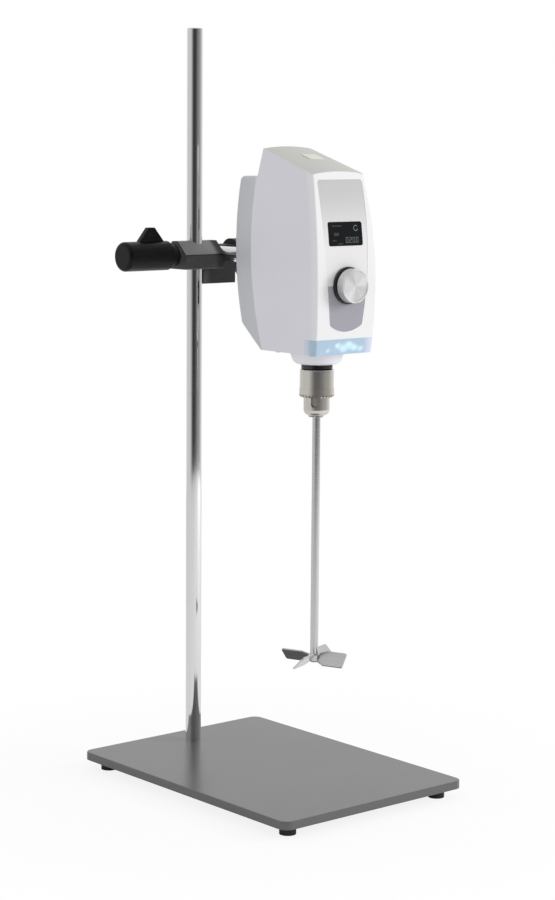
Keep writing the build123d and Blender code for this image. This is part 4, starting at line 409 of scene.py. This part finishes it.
finishes = {
    "plate_grey": paint_plate(),
    "rubber_black": rubber(),
    "rod_chrome": chrome("rod_chrome", 0.78, (500.0, 500.0, 3.0)),
    "arm_chrome": chrome("arm_chrome", 0.76, (500.0, 3.0, 500.0)),
    "steel": brushed("screw_steel", 0.52, 0.26, (60.0, 60.0, 900.0)),
    "shaft_steel": brushed("shaft_steel", 0.66, 0.16, (40.0, 40.0, 700.0)),
    "chuck_nickel": chuck_plate(),
    "clamp_black": clamp_coat(),
    "knob_black": cast_black("knob_coating", 0.003, 0.006, 0.34, 1200.0, 1.28),
    "shell_white": shell_coat(),
    "cover_grey": moulded("cover_grey", 0.50, 0.53, 0.42, 1500.0, (0.975, 1.0, 1.06)),
    "collar_white": moulded("collar_white", 0.77, 0.81, 0.38, 1500.0, (0.985, 0.985, 1.05)),
    "panel_light": film("panel_light", 0.67, 0.71, (1.0, 0.995, 0.995), 0.70),
    "panel_dark": film("panel_dark", 0.30, 0.33, (1.0, 0.98, 1.10)),
    "top_cream": film("top_cream", 0.66, 0.70, (1.0, 0.98, 0.86)),
    "display_black": display_glass(),
    "dial_aluminium": spun_dial(),
    "dial_black": cast_black("dial_ring_black", 0.01, 0.02, 0.35, 1500.0),
    "bar_blue": lit_bar(),
    "cast_aluminium": brushed("cast_aluminium", 0.55, 0.4, (90.0, 90.0, 90.0)),
    "motor_iron": cast_black("motor_lacquer", 0.08, 0.14, 0.45, 500.0),
    "copper": brushed("coil_copper", 0.62, 0.3, (600.0, 600.0, 60.0), (1.0, 0.52, 0.30)),
    "board_green": board(),
    "plastic_black": moulded("black_plastic", 0.016, 0.028, 0.45, 1200.0),
    "switch_green": moulded("rocker_green", 0.10, 0.13, 0.25, 900.0, (0.25, 1.0, 0.4)),
    "pin_brass": brushed("pin_brass", 0.7, 0.25, (80.0, 700.0, 80.0), (1.0, 0.86, 0.55)),
}

slot_of = {entry["node"]: entry["material_slot"] for entry in frame["record"]["subparts"]}
for name, piece in nodes.items():
    for place in piece.material_slots:
        place.material = finishes[slot_of[name]]


# ---------------------------------------------------------------- helpers for new pieces
def piece_from(name, mesh_builder, finish, body):
    """A new piece from a function that fills a bmesh, riding on a body."""
    mesh = bpy.data.meshes.new(name)
    shape = bmesh.new()
    mesh_builder(shape)
    shape.to_mesh(mesh)
    shape.free()
    made = bpy.data.objects.new(name, mesh)
    scene.collection.objects.link(made)
    made.data.materials.append(finish)
    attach(made, body)
    return made


def slab_on_front(shape, corners, proud, sink=0.0002):
    """A thin plate on the bowed front: corners are (across, height) about the head's middle."""
    rings = []
    for lift in (proud, -sink):
        rings.append([shape.verts.new((head_x + u, front_y(v) - lift, v)) for u, v in corners])
    top, bottom = rings
    shape.faces.new(top)
    shape.faces.new(bottom[::-1])
    for k in range(len(corners)):
        n = (k + 1) % len(corners)
        shape.faces.new((top[k], bottom[k], bottom[n], top[n]))
    bmesh.ops.recalc_face_normals(shape, faces=shape.faces)


# ---------------------------------------------------------------- figures and signs on the display
SEGMENTS = {"0": "abcdef", "1": "bc", "2": "abged", "5": "afgcd"}
STROKE = 0.00065
PRINT_RISE = 0.00012


def segment_corners(letter, left, low, width, height):
    """Corners of one of a figure's seven bars."""
    mid = low + height / 2
    top = low + height
    far = left + width
    bars = {"a": (left, top - STROKE, far, top),
            "b": (far - STROKE, mid, far, top),
            "c": (far - STROKE, low, far, mid),
            "d": (left, low, far, low + STROKE),
            "e": (left, low, left + STROKE, mid),
            "f": (left, mid, left + STROKE, top),
            "g": (left, mid - STROKE / 2, far, mid + STROKE / 2)}
    x0, z0, x1, z1 = bars[letter]
    return [(x0, z0), (x1, z0), (x1, z1), (x0, z1)]


def figures(shape, text, left, rise, width, height, gap):
    """A row of seven-bar figures; rise is counted from the display's lower edge."""
    low = display_low + rise
    for k, mark in enumerate(text):
        start = left + k * (width + gap)
        for letter in SEGMENTS[mark]:
            slab_on_front(shape, segment_corners(letter, start, low, width, height), PRINT_RISE)


def turn_sign(shape, across, rise, outer, inner, count, start, sweep):
    """An open ring on the display, made of short slabs."""
    height = display_low + rise
    for k in range(count):
        a = start + sweep * k / count
        b = start + sweep * (k + 1) / count
        polar = [(inner, a), (outer, a), (outer, b), (inner, b)]
        corners = [(across + r * math.cos(t), height + r * math.sin(t)) for r, t in polar]
        slab_on_front(shape, corners, PRINT_RISE)


piece_from("display_figures", lambda s: figures(s, "0200", 0.0, 0.0027, 0.0031, 0.0055, 0.0012),
           glowing("figure_glow", (0.085, 0.118, 0.13), 0.3), "head")
piece_from("display_small_figures", lambda s: figures(s, "125", -0.0155, 0.0097, 0.0016, 0.0028, 0.0009),
           glowing("small_figure_glow", (0.06, 0.078, 0.085), 0.3), "head")
piece_from("display_turn_sign", lambda s: turn_sign(s, 0.0135, 0.0167, 0.0028, 0.0022, 26, 0.6, 5.4),
           glowing("turn_sign_glow", (0.18, 0.21, 0.225), 0.3), "head")


# each line: above the display's lower edge, left end, right end
LINES = ((0.0187, -0.017, -0.004), (0.0047, -0.017, -0.012), (0.0017, -0.010, -0.004))


def display_lines(shape):
    """Short blank lines where a display has its captions."""
    for rise, left, right in LINES:
        low = display_low + rise
        top = low + STROKE
        slab_on_front(shape, [(left, low), (right, low), (right, top), (left, top)], PRINT_RISE)


piece_from("display_lines", display_lines,
           glowing("line_glow", (0.055, 0.068, 0.075), 0.3), "head")


# ---------------------------------------------------------------- repeated ridges, made by one node tree
def ridge_tree():
    """Ridges set round the Y axis: count, radius, length and width are inputs."""
    tree = bpy.data.node_groups.new("ridges_round_axis", "GeometryNodeTree")
    face = tree.interface
    face.new_socket("Geometry", in_out="INPUT", socket_type="NodeSocketGeometry")
    face.new_socket("Ridges", in_out="INPUT", socket_type="NodeSocketInt")
    for name in ("Ring Radius", "Ridge Length", "Ridge Width"):
        face.new_socket(name, in_out="INPUT", socket_type="NodeSocketFloat")
    face.new_socket("Ridge Finish", in_out="INPUT", socket_type="NodeSocketMaterial")
    face.new_socket("Geometry", in_out="OUTPUT", socket_type="NodeSocketGeometry")
    make = tree.nodes.new
    join = tree.links.new
    given = make("NodeGroupInput")
    result = make("NodeGroupOutput")
    ring = make("GeometryNodeMeshCircle")
    join(given.outputs["Ridges"], ring.inputs["Vertices"])
    join(given.outputs["Ring Radius"], ring.inputs["Radius"])
    ridge = make("GeometryNodeMeshCylinder")
    ridge.inputs["Vertices"].default_value = 6
    join(given.outputs["Ridge Width"], ridge.inputs["Radius"])
    join(given.outputs["Ridge Length"], ridge.inputs["Depth"])
    set_round = make("GeometryNodeInstanceOnPoints")
    join(ring.outputs["Mesh"], set_round.inputs["Points"])
    join(ridge.outputs["Mesh"], set_round.inputs["Instance"])
    real = make("GeometryNodeRealizeInstances")
    join(set_round.outputs["Instances"], real.inputs["Geometry"])
    coat = make("GeometryNodeSetMaterial")
    join(real.outputs["Geometry"], coat.inputs["Geometry"])
    join(given.outputs["Ridge Finish"], coat.inputs["Material"])
    join(coat.outputs["Geometry"], result.inputs["Geometry"])
    return tree


def ridges(name, tree, place, body, values):
    """Plain mesh of the tree's result, moved to place."""
    maker = bpy.data.objects.new(name + "_maker", bpy.data.meshes.new(name + "_maker"))
    scene.collection.objects.link(maker)
    modifier = maker.modifiers.new("ridges", "NODES")
    modifier.node_group = tree
    for item in tree.interface.items_tree:
        if item.in_out == "INPUT" and item.name in values:
            modifier[item.identifier] = values[item.name]
    graph = bpy.context.evaluated_depsgraph_get()
    mesh = bpy.data.meshes.new_from_object(maker.evaluated_get(graph))
    maker.modifiers.remove(modifier)
    bpy.data.objects.remove(maker)
    mesh.name = name
    mesh.transform(place)
    made = bpy.data.objects.new(name, mesh)
    scene.collection.objects.link(made)
    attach(made, body)
    return made


ring_tree = ridge_tree()
GRIP_MIDDLE_Y = -0.0835
toward_front = Matrix.Translation((head_x, GRIP_MIDDLE_Y, dial_z)) @ Matrix.Rotation(math.radians(90), 4, "X")
ridges("dial_grip_ridges", ring_tree, toward_front, "dial",
       {"Ridges": 84, "Ring Radius": 0.0163, "Ridge Length": 0.0066, "Ridge Width": 0.00032,
        "Ridge Finish": finishes["dial_aluminium"]})

# ---------------------------------------------------------------- camera
EYE = Vector((-1.44373, -1.71538, 0.64893))
YAW, PITCH, ROLL = math.radians(40.23), math.radians(7.92), math.radians(0.43)
SENSOR = 36.0               # millimetres along the picture's longer side
PICTURE_PIXELS = 900
FOCAL_PIXELS = 2299.28
look = Vector((math.sin(YAW) * math.cos(PITCH), math.cos(YAW) * math.cos(PITCH), -math.sin(PITCH)))
right = Vector((math.cos(YAW), -math.sin(YAW), 0.0))
up = right.cross(look)
right, up = math.cos(ROLL) * right + math.sin(ROLL) * up, -math.sin(ROLL) * right + math.cos(ROLL) * up
camera = bpy.data.objects.new("camera", bpy.data.cameras.new("camera"))
camera.data.sensor_width = SENSOR
camera.data.lens = FOCAL_PIXELS / PICTURE_PIXELS * SENSOR
camera.data.clip_end = 60.0
turn = Matrix((right, up, -look)).transposed()
camera.matrix_world = Matrix.Translation(EYE) @ turn.to_4x4()
scene.collection.objects.link(camera)
scene.camera = camera

# ---------------------------------------------------------------- floor
FLOOR_RADIUS = 1.9
floor_mesh = bpy.data.meshes.new("floor")
shape = bmesh.new()
bmesh.ops.create_circle(shape, cap_ends=True, segments=96, radius=FLOOR_RADIUS)
shape.to_mesh(floor_mesh)
shape.free()
floor = bpy.data.objects.new("floor", floor_mesh)
scene.collection.objects.link(floor)
floor_finish = Finish("floor_paper", Roughness=0.9, Base_Color=grey(0.9))
floor_x, floor_y, _ = floor_finish.axes()
path = floor_finish.node("ShaderNodeLightPath")
seen = Value(floor_finish, path.socket.node.outputs["Is Camera Ray"])
plain = Value(floor_finish, floor_finish.shader.outputs[0])
white = floor_finish.node("ShaderNodeEmission", inputs={0: grey(1.0), 1: 1.0})
distance = (floor_x * floor_x + floor_y * floor_y) ** 0.5
cover = floor_finish.step(distance, 0.2, 0.5, 0.86, 1.0)
surface = floor_finish.node("ShaderNodeMixShader", inputs={0: seen * cover, 1: plain, 2: white})
output = floor_finish.tree.nodes["Material Output"]
floor_finish.tree.links.new(surface.socket, output.inputs["Surface"])
floor_mesh.materials.append(floor_finish.material)

# ---------------------------------------------------------------- studio
world = bpy.data.worlds.new("studio")
world.use_nodes = True
scene.world = world


class Sky(Finish):
    """The room round the object: pale, with a dark and a dull side that only gloss shows."""

    def __init__(self, room):
        self.tree = room.node_tree
        self.place = None


sky = Sky(world)
ways = sky.node("ShaderNodeLightPath").socket.node
camera_ray, glossy_ray = (Value(sky, ways.outputs[name]) for name in ("Is Camera Ray", "Is Glossy Ray"))
direction = sky.node("ShaderNodeTexCoord", out="Generated")
split = sky.node("ShaderNodeSeparateXYZ", inputs={0: direction}).socket.node
sx, sy, sz = (Value(sky, split.outputs[k]) for k in range(3))
toward_camera = sx * (-math.sin(YAW)) + sy * (-math.cos(YAW))
toward_right = sx * math.cos(YAW) + sy * (-math.sin(YAW))
turned = toward_right.bearing(toward_camera)
DARK_FROM = (math.radians(-62), math.radians(-12))      # bearings between which the dark side sets in
DARK_TO = (math.radians(5), math.radians(80))
DULL_FROM = (math.radians(-10), math.radians(20))
DULL_TO = (math.radians(75), math.radians(120))
dark_start = sky.step(turned, *DARK_FROM)
dark_end = sky.step(turned, *DARK_TO, 1.0, 0.0)
dark_side = dark_start * dark_end * sky.step(sz, 0.35, 0.75, 1.0, 0.0)
far_side = sky.step(toward_camera, -0.2, -0.9)
dull_start = sky.step(turned, *DULL_FROM)
dull_side = dull_start * sky.step(turned, *DULL_TO, 1.0, 0.0)
pale_room = sky.mix(far_side, grey(0.72), grey(0.95))
dull_room = sky.mix(dull_side, pale_room, grey(0.36))
mirrored = sky.mix(dark_side, dull_room, grey(0.05))
overhead = sky.step(sz, 0.2, 1.0)
even = sky.mix(overhead, grey(0.90), grey(0.74))
room = sky.mix(glossy_ray, even, mirrored)
shown = sky.mix(camera_ray, room, grey(1.0))
background = world.node_tree.nodes["Background"]
world.node_tree.links.new(shown.socket, background.inputs["Color"])
background.inputs["Strength"].default_value = 1.0


def softbox(name, place, target, width, height, watts):
    """A rectangular light aimed at a point, unseen in gloss."""
    light = bpy.data.lights.new(name, "AREA")
    light.shape = "RECTANGLE"
    light.size = width
    light.size_y = height
    light.energy = watts
    made = bpy.data.objects.new(name, light)
    aim = (Vector(target) - Vector(place)).to_track_quat("-Z", "Y")
    made.matrix_world = Matrix.Translation(place) @ aim.to_matrix().to_4x4()
    made.visible_glossy = False
    scene.collection.objects.link(made)


KEY_PLACE = (2.2, -1.9, 1.3)
KEY_TARGET = (0.03, -0.05, 0.45)
KEY_WATTS = 50.0
softbox("key_box", KEY_PLACE, KEY_TARGET, 1.0, 1.2, KEY_WATTS)

scene.view_settings.view_transform = "Standard"
